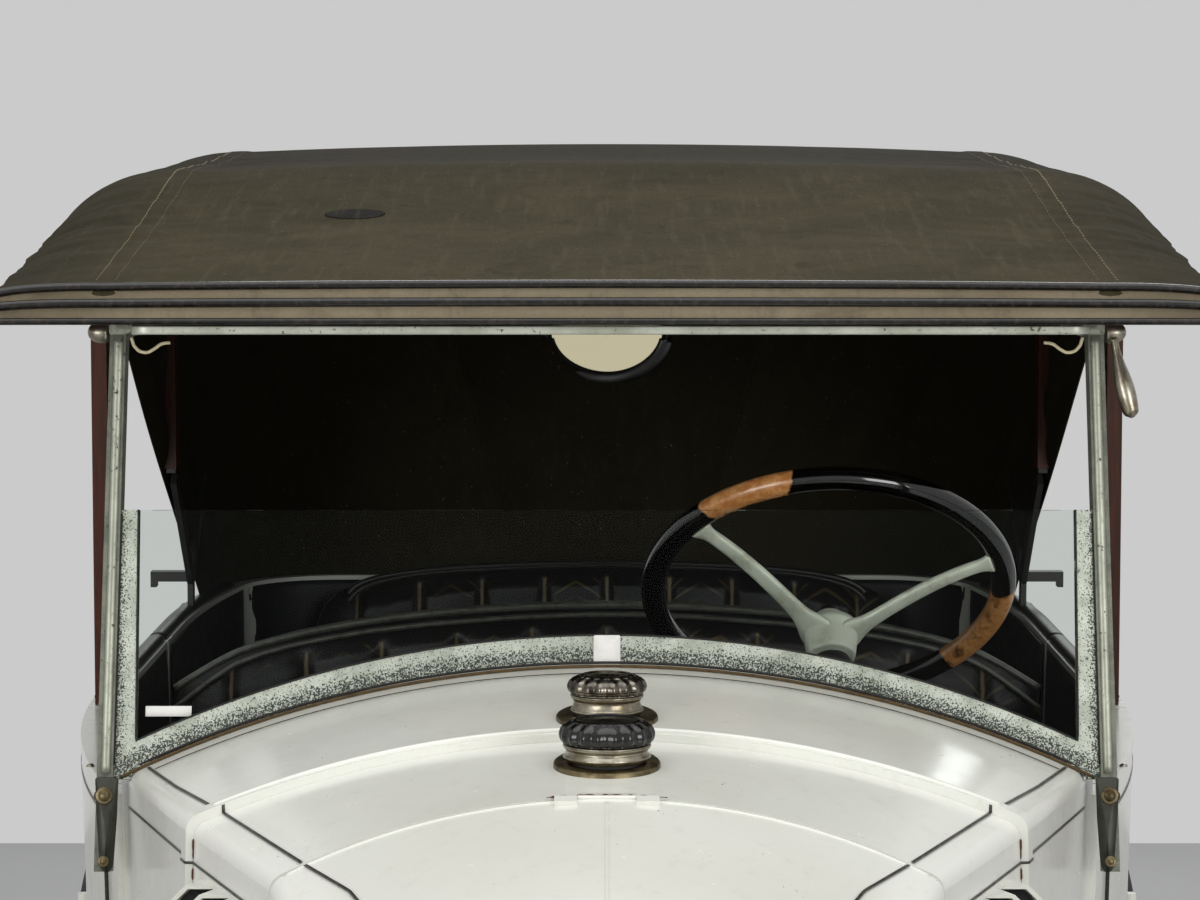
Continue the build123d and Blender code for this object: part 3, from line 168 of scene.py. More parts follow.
def join_meshes(name, meshes):
    """One mesh from several, with their vertices, faces and UV maps one after another."""
    points, loops, starts, uvs = [], [], [], []
    vertex_count = loop_count = 0
    for mesh in meshes:
        points.append(read_layer(mesh.vertices, "co", 3))
        loops.append(read_layer(mesh.loops, "vertex_index", 1, np.int32) + vertex_count)
        starts.append(read_layer(mesh.polygons, "loop_start", 1, np.int32) + loop_count)
        uvs.append(read_layer(mesh.uv_layers[0].data, "uv", 2))
        vertex_count += len(mesh.vertices)
        loop_count += len(mesh.loops)
        bpy.data.meshes.remove(mesh)
    points, loops, starts, uvs = (np.concatenate(part) for part in (points, loops, starts, uvs))
    return build_mesh(name, points, uv=uvs, loops=loops, starts=starts)


def place_joined(name, meshes, finish, replaces=(), body="car"):
    """Puts several meshes in the scene as one piece."""
    return place_piece(join_meshes(name, meshes), finish, replaces, body)


def thicken(piece, depth, offset=-1.0):
    """Gives a sheet its real thickness."""
    wall = piece.modifiers.new("thickness", "SOLIDIFY")
    wall.thickness = depth
    wall.offset = offset
    return piece


def arc_radius(half, rise):
    """The radius of an arc with a half width and a rise."""
    return (half ** 2 + rise ** 2) / (2 * rise)


def spread(*parts):
    """Points from their coordinates, each an array or one value for all."""
    return np.stack(np.broadcast_arrays(*parts), axis=-1)


def run_along(path):
    """The distance from a path's first point to each of its points."""
    return np.concatenate([[0], np.cumsum(np.linalg.norm(np.diff(path, axis=0), axis=1))])


def turns(count):
    """Angles all round a circle, evenly spread."""
    return np.linspace(0, 2 * np.pi, count, endpoint=False)


def frames_along(path, closed=False):
    """Unit tangent, side and up vectors at each point of a path; up stays as near +Z as the path lets it."""
    if closed:
        step = np.roll(path, -1, axis=0) - np.roll(path, 1, axis=0)
    else:
        step = np.gradient(path, axis=0)
    tangent = step / np.linalg.norm(step, axis=1, keepdims=True)
    guide = np.where(np.abs(tangent[:, 2:3]) > 0.98, np.array([[0.0, 1.0, 0.0]]), np.array([[0.0, 0.0, 1.0]]))
    side = np.cross(tangent, guide)
    side /= np.linalg.norm(side, axis=1, keepdims=True)
    return tangent, side, np.cross(side, tangent)


def capped(rings):
    """Rings of points with one more at each end, drawn together to a point, which closes their tube."""
    ends = rings.mean(axis=1, keepdims=True) + np.zeros_like(rings)
    return np.concatenate([ends[:1], rings, ends[-1:]])


def swept(name, path, profile, closed=False):
    """A closed profile of (side, up) points carried along a path: point = path + side * a + up * b."""
    _, side, up = frames_along(path, closed)
    prof = profile if profile.ndim == 3 else np.broadcast_to(profile, (len(path),) + profile.shape)
    points = path[:, None] + side[:, None] * prof[..., :1] + up[:, None] * prof[..., 1:]
    return grid_mesh(name, points if closed else capped(points), wrap_u=closed, wrap_v=True)


def circle(radius, count=12):
    """Points round a circle."""
    return radius * spread(np.cos(turns(count)), np.sin(turns(count)))


def tube(name, path, radius, count=12, closed=False):
    """A round tube along a path; the radius may change along it."""
    radii = np.broadcast_to(np.asarray(radius, float), (len(path),))
    return swept(name, np.asarray(path, float), circle(1.0, count)[None] * radii[:, None, None], closed)


def lathe(name, profile, centre, axis, count=48, wobble=None):
    """A profile of (distance along the axis, radius) points turned about an axis; wobble scales the radius."""
    axis = np.asarray(axis, float) / np.linalg.norm(axis)
    guide = np.array([1.0, 0, 0]) if abs(axis[0]) < 0.9 else np.array([0, 1.0, 0])
    side = np.cross(axis, guide)
    side /= np.linalg.norm(side)
    other = np.cross(axis, side)
    turn = turns(count)
    profile = np.asarray(profile, float)
    radius = profile[:, 1:2] * (np.ones((1, count)) if wobble is None else wobble(turn, profile))
    ring = np.cos(turn)[None, :, None] * side + np.sin(turn)[None, :, None] * other
    points = np.asarray(centre, float) + profile[:, :1, None] * axis + radius[..., None] * ring
    return grid_mesh(name, points, wrap_v=True)


def round_profile(points, steps=6, radius=0.002):
    """A profile with each inner corner rounded by a short quadratic curve of the given reach."""
    points = np.asarray(points, float)
    out = [points[:1]]
    for before, corner, after in zip(points[:-2], points[1:-1], points[2:]):
        a, b = before - corner, after - corner
        la, lb = np.linalg.norm(a), np.linalg.norm(b)
        reach = min(radius, la / 2, lb / 2)
        start, end = corner + a / max(la, 1e-9) * reach, corner + b / max(lb, 1e-9) * reach
        t = np.linspace(0, 1, steps)[:, None]
        out.append((1 - t) ** 2 * start + 2 * t * (1 - t) * corner + t ** 2 * end)
    out.append(points[-1:])
    return np.concatenate(out)


def mirrored(points):
    """The same points on the car's other side."""
    return points * np.array([-1.0, 1.0, 1.0])


def front_size(y):
    """Shoulder, foot, shoulder height and crown height of the front body at places along the car."""
    order = FRONT_BODY[::-1]
    return [np.interp(y, order[:, 0], order[:, k]) for k in range(1, 5)]


def front_top(x, y, lift=0.0):
    """Points on the arched top of the front body: an arc from shoulder to shoulder through the crown."""
    shoulder, _, side_z, crown_z = front_size(y)
    rise = crown_z - side_z
    radius = arc_radius(shoulder, rise)
    z = crown_z - radius + np.sqrt(np.maximum(radius ** 2 - x ** 2, 0)) + lift
    return spread(x, y, z)


def front_side(z, y, lift=0.0):
    """Points on the leaning side of the front body, on the car's left."""
    shoulder, foot, side_z, _ = front_size(y)
    x = foot + (shoulder - foot) * (z - BODY_FOOT) / (side_z - BODY_FOOT) + lift
    return spread(x, y, z)


def body_half_at(y, inset=0.0):
    """Half width of the body's top edge: a flare behind the windscreen, a straight part and a drawn-in tail."""
    def bulge(run, rise, away):
        radius = arc_radius(run, rise)
        return radius - np.sqrt(radius ** 2 - np.minimum(away, run) ** 2)
    front = bulge(FLARE_END_Y - BODY_FRONT_Y, BODY_HALF - BODY_FRONT_HALF, np.maximum(FLARE_END_Y - y, 0))
    rear = bulge(BODY_TAIL_Y - TAPER_START_Y, BODY_HALF - BODY_TAIL_HALF, np.maximum(y - TAPER_START_Y, 0))
    return BODY_HALF - inset - front - rear


def body_skin(y, z, lift, side):
    """A point on the outer face of the body's leaning side."""
    lean = 0.012 * (BODY_TOP - z) / (BODY_TOP - BODY_FOOT)
    return spread(side * (body_half_at(np.asarray(y, float)) - lean + lift), y, z)


def fill(tree, socket, value):
    """Gives an input a link, a colour or a plain value; None leaves it as it is."""
    if isinstance(value, Wire):
        tree.links.new(value.socket, socket)
    elif value is not None:
        socket.default_value = linear(value) if isinstance(value, str) else value


def add_node(tree, kind, *values, out=0, **settings):
    """Adds a node and returns one of its outputs: values fill its inputs in order, settings go by name."""
    made = tree.nodes.new("ShaderNode" + kind)
    for key, value in settings.items():
        if hasattr(made, key):
            setattr(made, key, value)
        else:
            fill(tree, made.inputs[key.replace("_", " ")], value)
    for socket, value in zip(made.inputs, values):
        fill(tree, socket, value)
    return Wire(tree, made.outputs[out]) if made.outputs else None


class Wire:
    """A node's output that sums can be written on: each sign adds a node."""

    def __init__(self, tree, socket):
        self.tree = tree
        self.socket = socket

    def maths(self, operation, *others):
        return add_node(self.tree, "Math", self, *others, operation=operation)

    def __add__(self, other):
        return self.maths("ADD", other)

    def __mul__(self, other):
        return self.maths("MULTIPLY", other)

    def __sub__(self, other):
        return self.maths("SUBTRACT", other)

    def __rsub__(self, other):
        return self.maths("MULTIPLY_ADD", -1.0, other)

    def __abs__(self):
        return self.maths("ABSOLUTE")

    def between(self, low, high):
        """0 below low, 1 above high, and a smooth rise between."""
        return add_node(self.tree, "MapRange", self, low, high, interpolation_type="SMOOTHSTEP")


class Paint:
    """A material in the making: a principled shader wired to its output, and Object coordinates."""

    def __init__(self, name):
        self.made = bpy.data.materials.new(name)
        self.made.use_nodes = True
        self.tree = self.made.node_tree
        self.tree.nodes.clear()
        self.shader = self.tree.nodes.new("ShaderNodeBsdfPrincipled")
        add_node(self.tree, "OutputMaterial", Wire(self.tree, self.shader.outputs["BSDF"]))
        self.place = self.add("TexCoord", out="Object")

    def add(self, kind, *values, **settings):
        """Adds a node to this material."""
        return add_node(self.tree, kind, *values, **settings)

    def at(self, axis):
        """The place along one axis, in metres."""
        return self.add("SeparateXYZ", self.place, out=axis)

    def mottle(self, size, detail=3.0, rough=0.55, warp=0.0, rise=None, place=None):
        """Fractal noise with features of about a size in metres; rise=(low, high) sharpens it to patches."""
        cloud = self.add("TexNoise", place or self.place, Scale=1 / size, Detail=detail, Roughness=rough,
                         Distortion=warp)
        return cloud.between(*rise) if rise else cloud

    def layers(self, base, *coats):
        """A ground colour with coats over it, each laid on by its own amount."""
        for amount, colour in coats:
            base = self.add("MixRGB", amount, base, colour)
        return base

    def finished(self, base, height, depth, strength=0.5, **values):
        """Wires colour, relief of a depth in metres and the shader's other inputs; returns the material."""
        relief = self.add("Bump", strength, depth, Height=height)
        for key, value in dict(Base_Color=base, Normal=relief, **values).items():
            fill(self.tree, self.shader.inputs[key.replace("_", " ")], value)
        return self.made


def brushed_enamel(name, colour, shade, chip, gloss=0.22):
    """Brush-painted coach enamel, decades old: soft gloss, faint brush waves, small chips down to primer."""
    paint = Paint(name)
    chips = paint.mottle(0.0035, 2.0, 0.4, rise=(0.735, 0.76)) * paint.mottle(0.06, rise=(0.55, 0.62))
    grime = paint.mottle(0.018, 5.0, 0.65, rise=(0.52, 0.85)) * 0.16
    base = paint.layers(colour, (paint.mottle(0.35, 2.0, rise=(0.35, 0.7)), shade), (chips, chip),
                        (grime, "#8d8671"))
    waves = paint.mottle(0.012, 2.0) * 0.8 + chips * -0.8
    return paint.finished(base, waves, 0.00022, 0.6, Roughness=paint.mottle(0.03, 4.0) * 0.16 + (gloss - 0.06),
                          IOR=1.5, Coat_Weight=0.35, Coat_Roughness=0.12)


def woven_canvas(name, colour, faded, dark):
    """Rubber-proofed cotton canvas in a plain weave, faded by the sun: matt, streaked, with old rain marks.

    The threads are drawn 1.6 mm apart, coarser than real so the weave shows. The cloth behind the first bow
    and outside the seams is painted darker, as it is in the photograph: this darkening is painted shade.
    """
    paint = Paint(name)
    threads = [(paint.add("SeparateXYZ", paint.add("TexCoord", out="UV"), out=axis) * (2 * math.pi / 0.0016))
               .maths("SINE") for axis in "XY"]
    weave = threads[0] * threads[1]
    run = paint.add("Mapping", paint.place, Scale=(1.0, 0.08, 0.3))
    # Painted shade: the cloth darkens behind the first bow and outside the seams
    behind = paint.at("Y").between(0.14, 0.50) * 0.74
    away = behind.maths("MAXIMUM", abs(paint.at("X")).between(0.43, 0.58) * 0.50)
    base = paint.layers(
        colour, (paint.mottle(0.22, 4.0, 0.6, 0.8, (0.3, 0.72)), faded),
        (paint.mottle(0.07, 6.0, 0.7, 1.5, (0.5, 0.75)) * 0.55, dark),
        (paint.mottle(0.0022, 3.0, 0.7, rise=(0.45, 0.8)) * 0.35, "#6a6250"), (weave * 0.10 + 0.10, dark),
        (paint.mottle(0.012, 4.0, 0.6, rise=(0.5, 0.72), place=run) * 0.22, "#5e5745"), (away, dark),
        (paint.mottle(0.0040, 2.0, 0.5, rise=(0.735, 0.76)) * 0.6, "#8d8672"))
    relief = paint.mottle(0.05, 4.0, 0.6) * 3.0 + weave * 0.35
    return paint.finished(base, relief, 0.0007, 0.8, Roughness=0.95, Specular_IOR_Level=0.12)


def grained_leather(name, colour, worn):
    """Black hide, dyed and pebble-grained, cracked and worn brown along its pleats: satin, finely wrinkled."""
    paint = Paint(name)
    wear, drop = (paint.add("Attribute", attribute_name=key, out="Fac") for key in ("wear", "drop"))
    patchy = paint.mottle(0.02, 5.0, 0.7)
    away = abs((paint.at("X") * (1 / PLEAT) + 20.5).maths("FRACT") - 0.5) * PLEAT
    pleated = wear.between(0.1, 0.45)
    seam = (1.0 - (away - (patchy * 0.005 - 0.0025)).between(0.0008, 0.0036)) * pleated
    fan = away.maths("SQRT") * 0.20 + drop
    ribs = 1.0 - (abs((fan * (1 / 0.021)).maths("FRACT") - 0.5) - patchy * 0.12).between(0.0, 0.09)
    ribs = ribs * paint.mottle(0.11, 2.0, rise=(0.44, 0.6)) * (1.0 - (drop + away).between(0.05, 0.085))
    worn_here = (seam * 0.5).maths("MAXIMUM", ribs * pleated * 0.30)
    base = paint.layers(colour, (worn_here, worn), (paint.mottle(0.16, rise=(0.4, 0.75)) * 0.25, "#1d1a16"))
    grain = paint.add("TexVoronoi", paint.place, Scale=1 / 0.0022, feature="DISTANCE_TO_EDGE", out="Distance")
    height = grain.maths("MINIMUM", 0.3) + paint.mottle(0.009, 6.0, 0.7, 1.0) * 0.8
    return paint.finished(base, height, 0.0006, 0.7, Roughness=patchy * 0.3 + 0.24, IOR=1.38)


def tarnished_zinc(name, colour, stain, speck):
    """Galvanised or zinc-plated strip, hand-wiped: pale green-grey, dull, with dark corrosion specks."""
    paint = Paint(name)
    specks = paint.mottle(0.0045, 3.0, 0.6, rise=(0.6, 0.68))
    spotted = specks * paint.mottle(0.045, 2.0, rise=(0.42, 0.58))
    stained = paint.mottle(0.05, 5.0, 0.65, rise=(0.3, 0.7))
    base = paint.layers(colour, (stained, stain), (spotted * 0.85, speck))
    return paint.finished(base, specks + paint.mottle(0.01), 0.0002, 0.6, Metallic=0.55,
                          Roughness=spotted * 0.3 + 0.42)


def screen_metal(name):
    """The windscreen's olive posts and its pale galvanised glass channel, on either side of their joint.

    The channel is spattered with dark corrosion, densest at its outer and lower edges. Its inner edge is the
    pane's arched foot, a circle taken here as a parabola.
    """
    paint = Paint(name)
    across, height = abs(paint.at("X")), paint.at("Z")
    joint = height * -POST_LEAN + (POST_INNER + POST_LEAN * SCREEN_Z)
    drop = across * across * (1 / (2 * arc_radius(PANE_HALF, PANE_RISE) * 0.98))
    low = PANE_MID_Z - drop - height
    outer = low.maths("MAXIMUM", across - 0.4755).between(0.002, 0.016)
    cloud = paint.mottle(0.03, 5.0, 0.7, rise=(0.35, 0.68))
    spatter = (outer * 0.150 + paint.mottle(0.0017, 2.0, 0.6)).between(0.57, 0.66)
    channel = paint.layers("#c4c9bc", (cloud, "#a0a697"), (spatter * 0.92, "#1c2420"))
    post = paint.layers("#7d8072", (cloud, "#62655a"),
                        (paint.mottle(0.006, 3.0, 0.6, rise=(0.66, 0.72)) * 0.8, "#23241d"))
    base = paint.layers(channel, ((across - joint).between(-0.0003, 0.0003), post))
    return paint.finished(base, spatter + paint.mottle(0.01), 0.0002, 0.6, Metallic=0.35,
                          Roughness=spatter * 0.3 + 0.38)


def clear_sheet(name, tint, bend, rough, size, detail, depth, strength):
    """Glass or celluloid, with the low waves of old drawn or cast sheet.

    Its refraction is set lower than the real one, so that the dark inside of the car reads through it.
    """
    paint = Paint(name)
    return paint.finished(tint, paint.mottle(size, detail), depth, strength, Transmission_Weight=1.0, IOR=bend,
                          Roughness=rough)


def plated_brass(name, colour, tarnish, rough=0.26):
    """Nickel plate over brass, worn through by polishing: warm grey gleam with yellow-brown patches."""
    paint = Paint(name)
    base = paint.layers(colour, (paint.mottle(0.018, 5.0, 0.65, rise=(0.36, 0.68)), tarnish))
    return paint.finished(base, paint.mottle(0.004, 4.0), 0.0001, Metallic=1.0,
                          Roughness=paint.mottle(0.006, 4.0) * 0.3 + (rough - 0.12))


def stove_black(name, colour, dust, gloss=0.3):
    """Black stoving enamel over steel: deep and glossy, dulled by road dust in cloudy patches."""
    paint = Paint(name)
    dusty = paint.mottle(0.09, 6.0, 0.65, rise=(0.40, 0.95)) * 0.34
    return paint.finished(paint.layers(colour, (dusty, dust)), paint.mottle(0.006, 4.0), 0.00012, IOR=1.5,
                          Roughness=dusty * 0.7 + gloss)


def vulcanised_rubber(name, colour, dust):
    """Moulded and vulcanised black rubber: matt, grey with dust in its pores."""
    paint = Paint(name)
    dusty = paint.mottle(0.03, 6.0, 0.7, rise=(0.4, 0.8))
    return paint.finished(paint.layers(colour, (dusty, dust)), paint.mottle(0.0015, 4.0), 0.0002, 0.6,
                          Roughness=dusty * 0.25 + 0.55, Specular_IOR_Level=0.35)


def varnished_wood(name, colour, dark, along=(0, 1, 0), grain=0.004):
    """Sawn ash or walnut under brown varnish: straight growth lines, darker pores, soft gloss."""
    paint = Paint(name)
    run = paint.add("Mapping", paint.place, Scale=tuple(0.06 if a else 1.0 for a in along))
    lines = paint.mottle(grain, 6.0, 0.65, 0.6, place=run)
    tone = paint.mottle(grain * 8, place=run) * 0.5 + lines * 0.6
    return paint.finished(paint.layers(colour, (tone.between(0.35, 0.75), dark)), lines, 0.00015, 0.6,
                          Roughness=lines * 0.25 + 0.3, IOR=1.30, Coat_Weight=0.05, Coat_Roughness=0.3)


def cast_metal(name, colour, dirt, metallic=0.7, rough=0.55):
    """Sand-cast or bare worked metal: fine pits, oily dirt lying in patches."""
    paint = Paint(name)
    oily = paint.mottle(0.05, 6.0, 0.7, rise=(0.42, 0.72))
    return paint.finished(paint.layers(colour, (oily, dirt)), paint.mottle(0.0025, 4.0, 0.6), 0.0003, 0.6,
                          Metallic=metallic, Roughness=oily * 0.2 + (rough - 0.1))


def celluloid_rim(name, colour, worn, copper):
    """Black celluloid over a wood core, hand-polished: mirror gloss, rubbed brown where hands held it."""
    paint = Paint(name)
    wear = paint.add("Attribute", attribute_name="wear", out="Fac")
    bare = (paint.mottle(0.012, 5.0, 0.6) * 0.36 + (wear - 0.18)).between(0.45, 0.58)
    wood = paint.layers(worn, (paint.mottle(0.008, 4.0, 0.6, rise=(0.35, 0.7)), copper))
    return paint.finished(paint.layers(colour, (bare, wood)), bare * -1.0, 0.0002, Roughness=bare * 0.2 + 0.1,
                          IOR=1.5, Coat_Weight=0.5, Coat_Roughness=0.05)


def plain_finish(name, colour, rough, fleck="#000000", amount=0.15, size=0.004, metallic=0.0):
    """A smooth small part in one finish, with a light mottle so that it isn't flat."""
    paint = Paint(name)
    base = paint.layers(colour, (paint.mottle(size, 4.0, rise=(0.4, 0.75)) * amount, fleck))
    return paint.finished(base, paint.mottle(size / 2), 0.00008, Metallic=metallic, Roughness=rough)


FINISH = {}


def make_finishes(settings):
    """All finishes of the car, by the name of what they are on."""
    FINISH.update(
        ivory=brushed_enamel("ivory coach enamel", settings.enamel, "#e1e0d5", "#5b5142"),
        wheel=brushed_enamel("ivory wheel enamel", "#dedccf", "#d0ccbb", "#4c443a", 0.3),
        canvas=woven_canvas("faded hood canvas", settings.canvas, "#443e2b", "#1d1a11"),
        hem=woven_canvas("hem band canvas", "#968a72", "#a89b82", "#5f5443"),
        # Dark lining cloth, also used for the painted shadow lines beside the roof seams and for the small roof
        # mark
        lining=woven_canvas("hood lining cloth", "#191714", "#211e1a", "#100f0d"),
        leather=grained_leather("black pleated hide", settings.hide, "#86714f"),
        # Black hide painted a lighter grey for the front seat's top rolls: partly wear, partly a painted
        # highlight
        worn_roll=plain_finish("worn hide roll with painted highlight", "#4c4c44", 0.36, "#171714", 0.7, 0.012),
        bronze=plain_finish("blackened bronze plate", "#2e3024", 0.42, "#12130d", 0.6, 0.010, 0.3),
        hide=plain_finish("black leather-cloth roll", "#11110f", 0.34, "#3d382e", 0.3, 0.01),
        zinc=tarnished_zinc("tarnished zinc channel", "#c6c9bb", "#a3a595", "#3a3a32"),
        screen=screen_metal("galvanised channel between olive posts"),
        rod=tarnished_zinc("bright zinc bar", "#abae9e", "#8f9283", "#3b3c33"),
        glass=clear_sheet("plate glass", "#eef4f0", 1.12, 0.0, 0.09, 2.0, 0.0004, 0.3),
        nickel=plated_brass("aged nickel plate", "#a8a294", "#7c735f", 0.3),
        worn_cap=plated_brass("worn nickel over black", "#3d3a35", "#8d877b", 0.22),
        bright=plated_brass("polished nickel plate", "#c9c3b4", "#a89c84", 0.18),
        brass=plated_brass("dull brass", "#756a50", "#3f3424", 0.4),
        black=stove_black("black wing enamel", "#0b0b0b", "#4a453d"),
        chassis=stove_black("chassis black", "#141312", "#3c372f", 0.5),
        cap_black=plain_finish("black fluted cap", "#0b0a0a", 0.16, "#3c372d", 0.25),
        rubber=vulcanised_rubber("tyre rubber", "#131312", "#3c3934"),
        mat=vulcanised_rubber("ribbed board rubber", "#1a1918", "#3a362f"),
        ash=varnished_wood("varnished ash bow", "#4d2009", "#220e05", (0, 0, 1)),
        dash=varnished_wood("walnut dash", "#4a2a16", "#22120a", (1, 0, 0)),
        boards=varnished_wood("oiled floor boards", "#6e5335", "#453220", (0, 1, 0), 0.006),
        iron=cast_metal("cast iron", "#4a4845", "#1d1b18"),
        radiator=stove_black("radiator black", "#161616", "#35322c", 0.55),
        alloy=cast_metal("cast aluminium", "#eeefdf", "#c4c4ae", 0.15, 0.44),
        rim=celluloid_rim("celluloid wheel rim", "#060505", "#b4733a", "#d39a62"),
        piping=plain_finish("glazed black piping", "#0c0b0a", 0.2, "#4a4036", 0.35, 0.006),
        thread=plain_finish("waxed gold thread", "#93824f", 0.6, "#5a4c2c", 0.35, 0.003),
        stripe=plain_finish("black lining paint", "#15130f", 0.3, "#8a8270", 0.3, 0.008),
        # Black cloth welt; also used for the painted shadow lines at the windscreen posts' joints
        welt=plain_finish("black cloth welt", "#14120f", 0.7, "#403a30", 0.4, 0.003),
        gasket=plain_finish("brown felt gasket", "#54401f", 0.8, "#2a1d10", 0.6, 0.006),
        rust=plain_finish("red-brown rust", "#5a3020", 0.8, "#2c1710", 0.5, 0.004),
        paper=plain_finish("blank white sticker", "#e9e8e2", 0.6, "#b9b5a6", 0.15, 0.006),
        wire=plain_finish("cream painted wire", "#cfc3a0", 0.45, "#8d8468", 0.4, 0.003),
        dial=plain_finish("white dial face", "#d8d4c4", 0.5, "#8f8a78", 0.12, 0.004),
        dark=plain_finish("blackened steel", "#1b1a18", 0.42, "#4d463b", 0.35, 0.006, 0.6),
        mirror=plated_brass("silvered reflector", "#d8d6d0", "#b5b2aa", 0.16),
        # Flat black for the painted shade inside the cowl's side scoops
        shade=plain_finish("painted shade black", "#070706", 0.8, "#14130f", 0.3, 0.01),
        celluloid=clear_sheet("yellowed celluloid", "#efe6c2", 1.1, 0.25, 0.02, 3.0, 0.0003, 0.5),
        red_glass=plain_finish("red lamp glass", "#7a0f0c", 0.12, "#3a0504", 0.2, 0.01),
    )


# The finish of each CAD node, by how its name starts
NODE_FINISH = dict(
    scuttle="ivory", radiator_cowl="ivory", bonnet="ivory", body_tub="ivory", door="ivory", wheel="wheel",
    spare_wheel="wheel", front_wings="black", rear_wings="black", chassis="chassis", road_springs="chassis",
    front_axle="chassis", rear_axle="chassis", knuckle="chassis", steering_column="chassis",
    hood_irons="chassis",
    running_boards="mat", engine="iron", radiator="radiator", tyre="rubber", spare_tyre="rubber",
    filler_caps="nickel", dashboard="dash", floor="boards", hood_bows="ash", front_cushion="leather",
    front_back="leather", rear_cushion="leather", rear_back="leather", windscreen_frame="screen",
    upper_pane="zinc", glass_panes="glass", hood_fabric="canvas", steering_wheel="rim", headlamps="bright",
)


def finish_nodes():
    """Gives every CAD node its finish; the longest start that fits its name counts."""
    for name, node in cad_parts.items():
        starts = [start for start in NODE_FINISH if name.startswith(start)]
        if starts:
            for slot in node.material_slots:
                slot.material = FINISH[NODE_FINISH[max(starts, key=len)]]


def hood_row(y):
    """Half width, crown, seam and edge heights and swell of the hood along the car, smooth through its bows."""
    values = []
    for column in HOOD.T[1:]:
        near = [np.interp(np.clip(y + step, HEM_Y, HOOD[-1, 0]), HOOD[:, 0], column)
                for step in (-0.030, -0.015, 0.015, 0.030)]
        values.append(0.4 * np.interp(y, HOOD[:, 0], column) + 0.15 * sum(near))
    return values


def bow_span(y):
    """0 on a bow and 1 midway between two."""
    places = np.array([*HOOD[:3, 0], REAR_BOW_Y, HOOD[3, 0]])
    index = np.clip(np.searchsorted(places, y) - 1, 0, len(places) - 2)
    part = (y - places[index]) / (places[index + 1] - places[index])
    return np.sin(np.pi * np.clip(part, 0, 1)) ** 2


def slack(x, y):
    """How far the cloth lies in from the straight line between its bows: a trough, and pulls at its ends.

    Three sine waves of different lengths and slants, strongest near the seams, stand for the pulls.
    """
    edge = np.clip(np.abs(x) / HOOD_SEAM_X, 0, 1.3) ** 3
    pulls = (np.sin(46 * y + 19 * np.abs(x)) + 0.7 * np.sin(83 * y - 31 * np.abs(x) + 1.3)
             + 0.5 * np.sin(131 * y + 57 * x + 0.4)) / 2.2
    span = bow_span(y)
    return -0.0055 * span * (1 - 0.35 * edge) + 0.0016 * edge * pulls * (0.35 + 0.65 * span)


def hood_roof_at(across, y, lift=0.0):
    """Points on the roof: across runs from -1 to 1 with the seams at 0.8 to each side.

    Between the seams lies a parabola, and outside them a bent shoulder, a quadratic curve through its middle.
    """
    half, crown, seam_z, edge_z, swell = hood_row(y)
    side = np.abs(across)
    inner = np.clip(side / SEAM_AT, 0, 1)
    s = np.clip((side - SEAM_AT) / (1 - SEAM_AT), 0, 1)

    def shoulder(start, end, out):
        control = (start + end) / 2 + 2 * out
        return (1 - s) ** 2 * start + 2 * s * (1 - s) * control + s ** 2 * end
    x = np.where(side <= SEAM_AT, HOOD_SEAM_X * inner, shoulder(HOOD_SEAM_X, half, 0.012))
    z = np.where(side <= SEAM_AT, crown - (crown - seam_z) * inner ** 2, shoulder(seam_z, edge_z, swell))
    out = lift + slack(x, y) * np.clip((y - HEM_Y) / 0.05, 0, 1)
    return spread(np.sign(across) * (x + out * s), y, z + out * (1 - 0.6 * s))


def roof_skirt(y):
    """Height of the roof cloth's lower side edge: the hem line in front, a lap over the quarters behind."""
    edge = hood_row(y)[3]
    hem = np.interp(y, (HEM_Y - 0.012, FIRST_BOW_Y), (HEM_Z, 1.650))
    return np.where(y < FIRST_BOW_Y, hem, edge - 0.050)


def felled_ridge(x):
    """Height of the doubled cloth along the long seams: a flat ridge 20 mm wide with rounded edges."""
    away = np.abs(np.abs(x) - HOOD_SEAM_X)
    return 0.0014 / (1 + np.exp((away - 0.010) / 0.0012))


def hem_line(line, part, out):
    """The roof's front edge line brought down a part of the way to the hem, falling back and out."""
    drop = (line[:, 2] - HEM_Z) * part
    return line - spread(0, 0.011 * (1 - (1 - part) ** 2) + out, drop)


def build_hood_roof():
    """The roof cloth from its front hem over the bows to the tail, its sides turned down.

    Across the car it follows hood_roof_at, and then runs straight down the sides to roof_skirt.
    """
    last_y = HOOD_TAIL_Y - 0.004
    rows = np.concatenate([np.full(5, HEM_Y), np.linspace(HEM_Y, last_y, 300)[1:], np.full(4, last_y)])
    shoulder = np.linspace(SEAM_AT, 1, 20)
    middle = np.linspace(-SEAM_AT, SEAM_AT, 121)
    u, v = np.meshgrid(np.concatenate([-shoulder[:0:-1], middle, shoulder[1:]]), rows, indexing="xy")
    top = hood_roof_at(u, v)
    top[..., 2] += felled_ridge(top[..., 0])
    fall = np.linspace(0, 1, 7)[1:]
    low = roof_skirt(rows)[:, None]
    sides = []
    for index in (0, -1):
        start = top[:, index]
        away = 0.0015 * np.sin(19 * rows)[:, None] * fall
        z = start[:, 2:3] + (low - start[:, 2:3]) * fall
        sides.append(spread(start[:, :1] + np.sign(start[:, :1]) * away, rows[:, None], z))
    points = np.concatenate([sides[0][:, ::-1], top, sides[1]], axis=1)
    for row, part in enumerate(np.linspace(1, 0, 5)):
        points[row] = hem_line(points[4], part, 0)
    tail = points[-5].copy()
    for row in range(4):
        low_z = np.minimum(tail[:, 2], np.maximum(tail[:, 2] - 0.032 * (row + 1) / 4, 1.6))
        points[len(points) - 4 + row] = spread(tail[:, 0], HOOD_TAIL_Y + 0.010, low_z)
    mesh = grid_mesh("hood_roof", points)
    thicken(place_piece(mesh, "canvas", ["hood_fabric"]), CANVAS_SHEET)


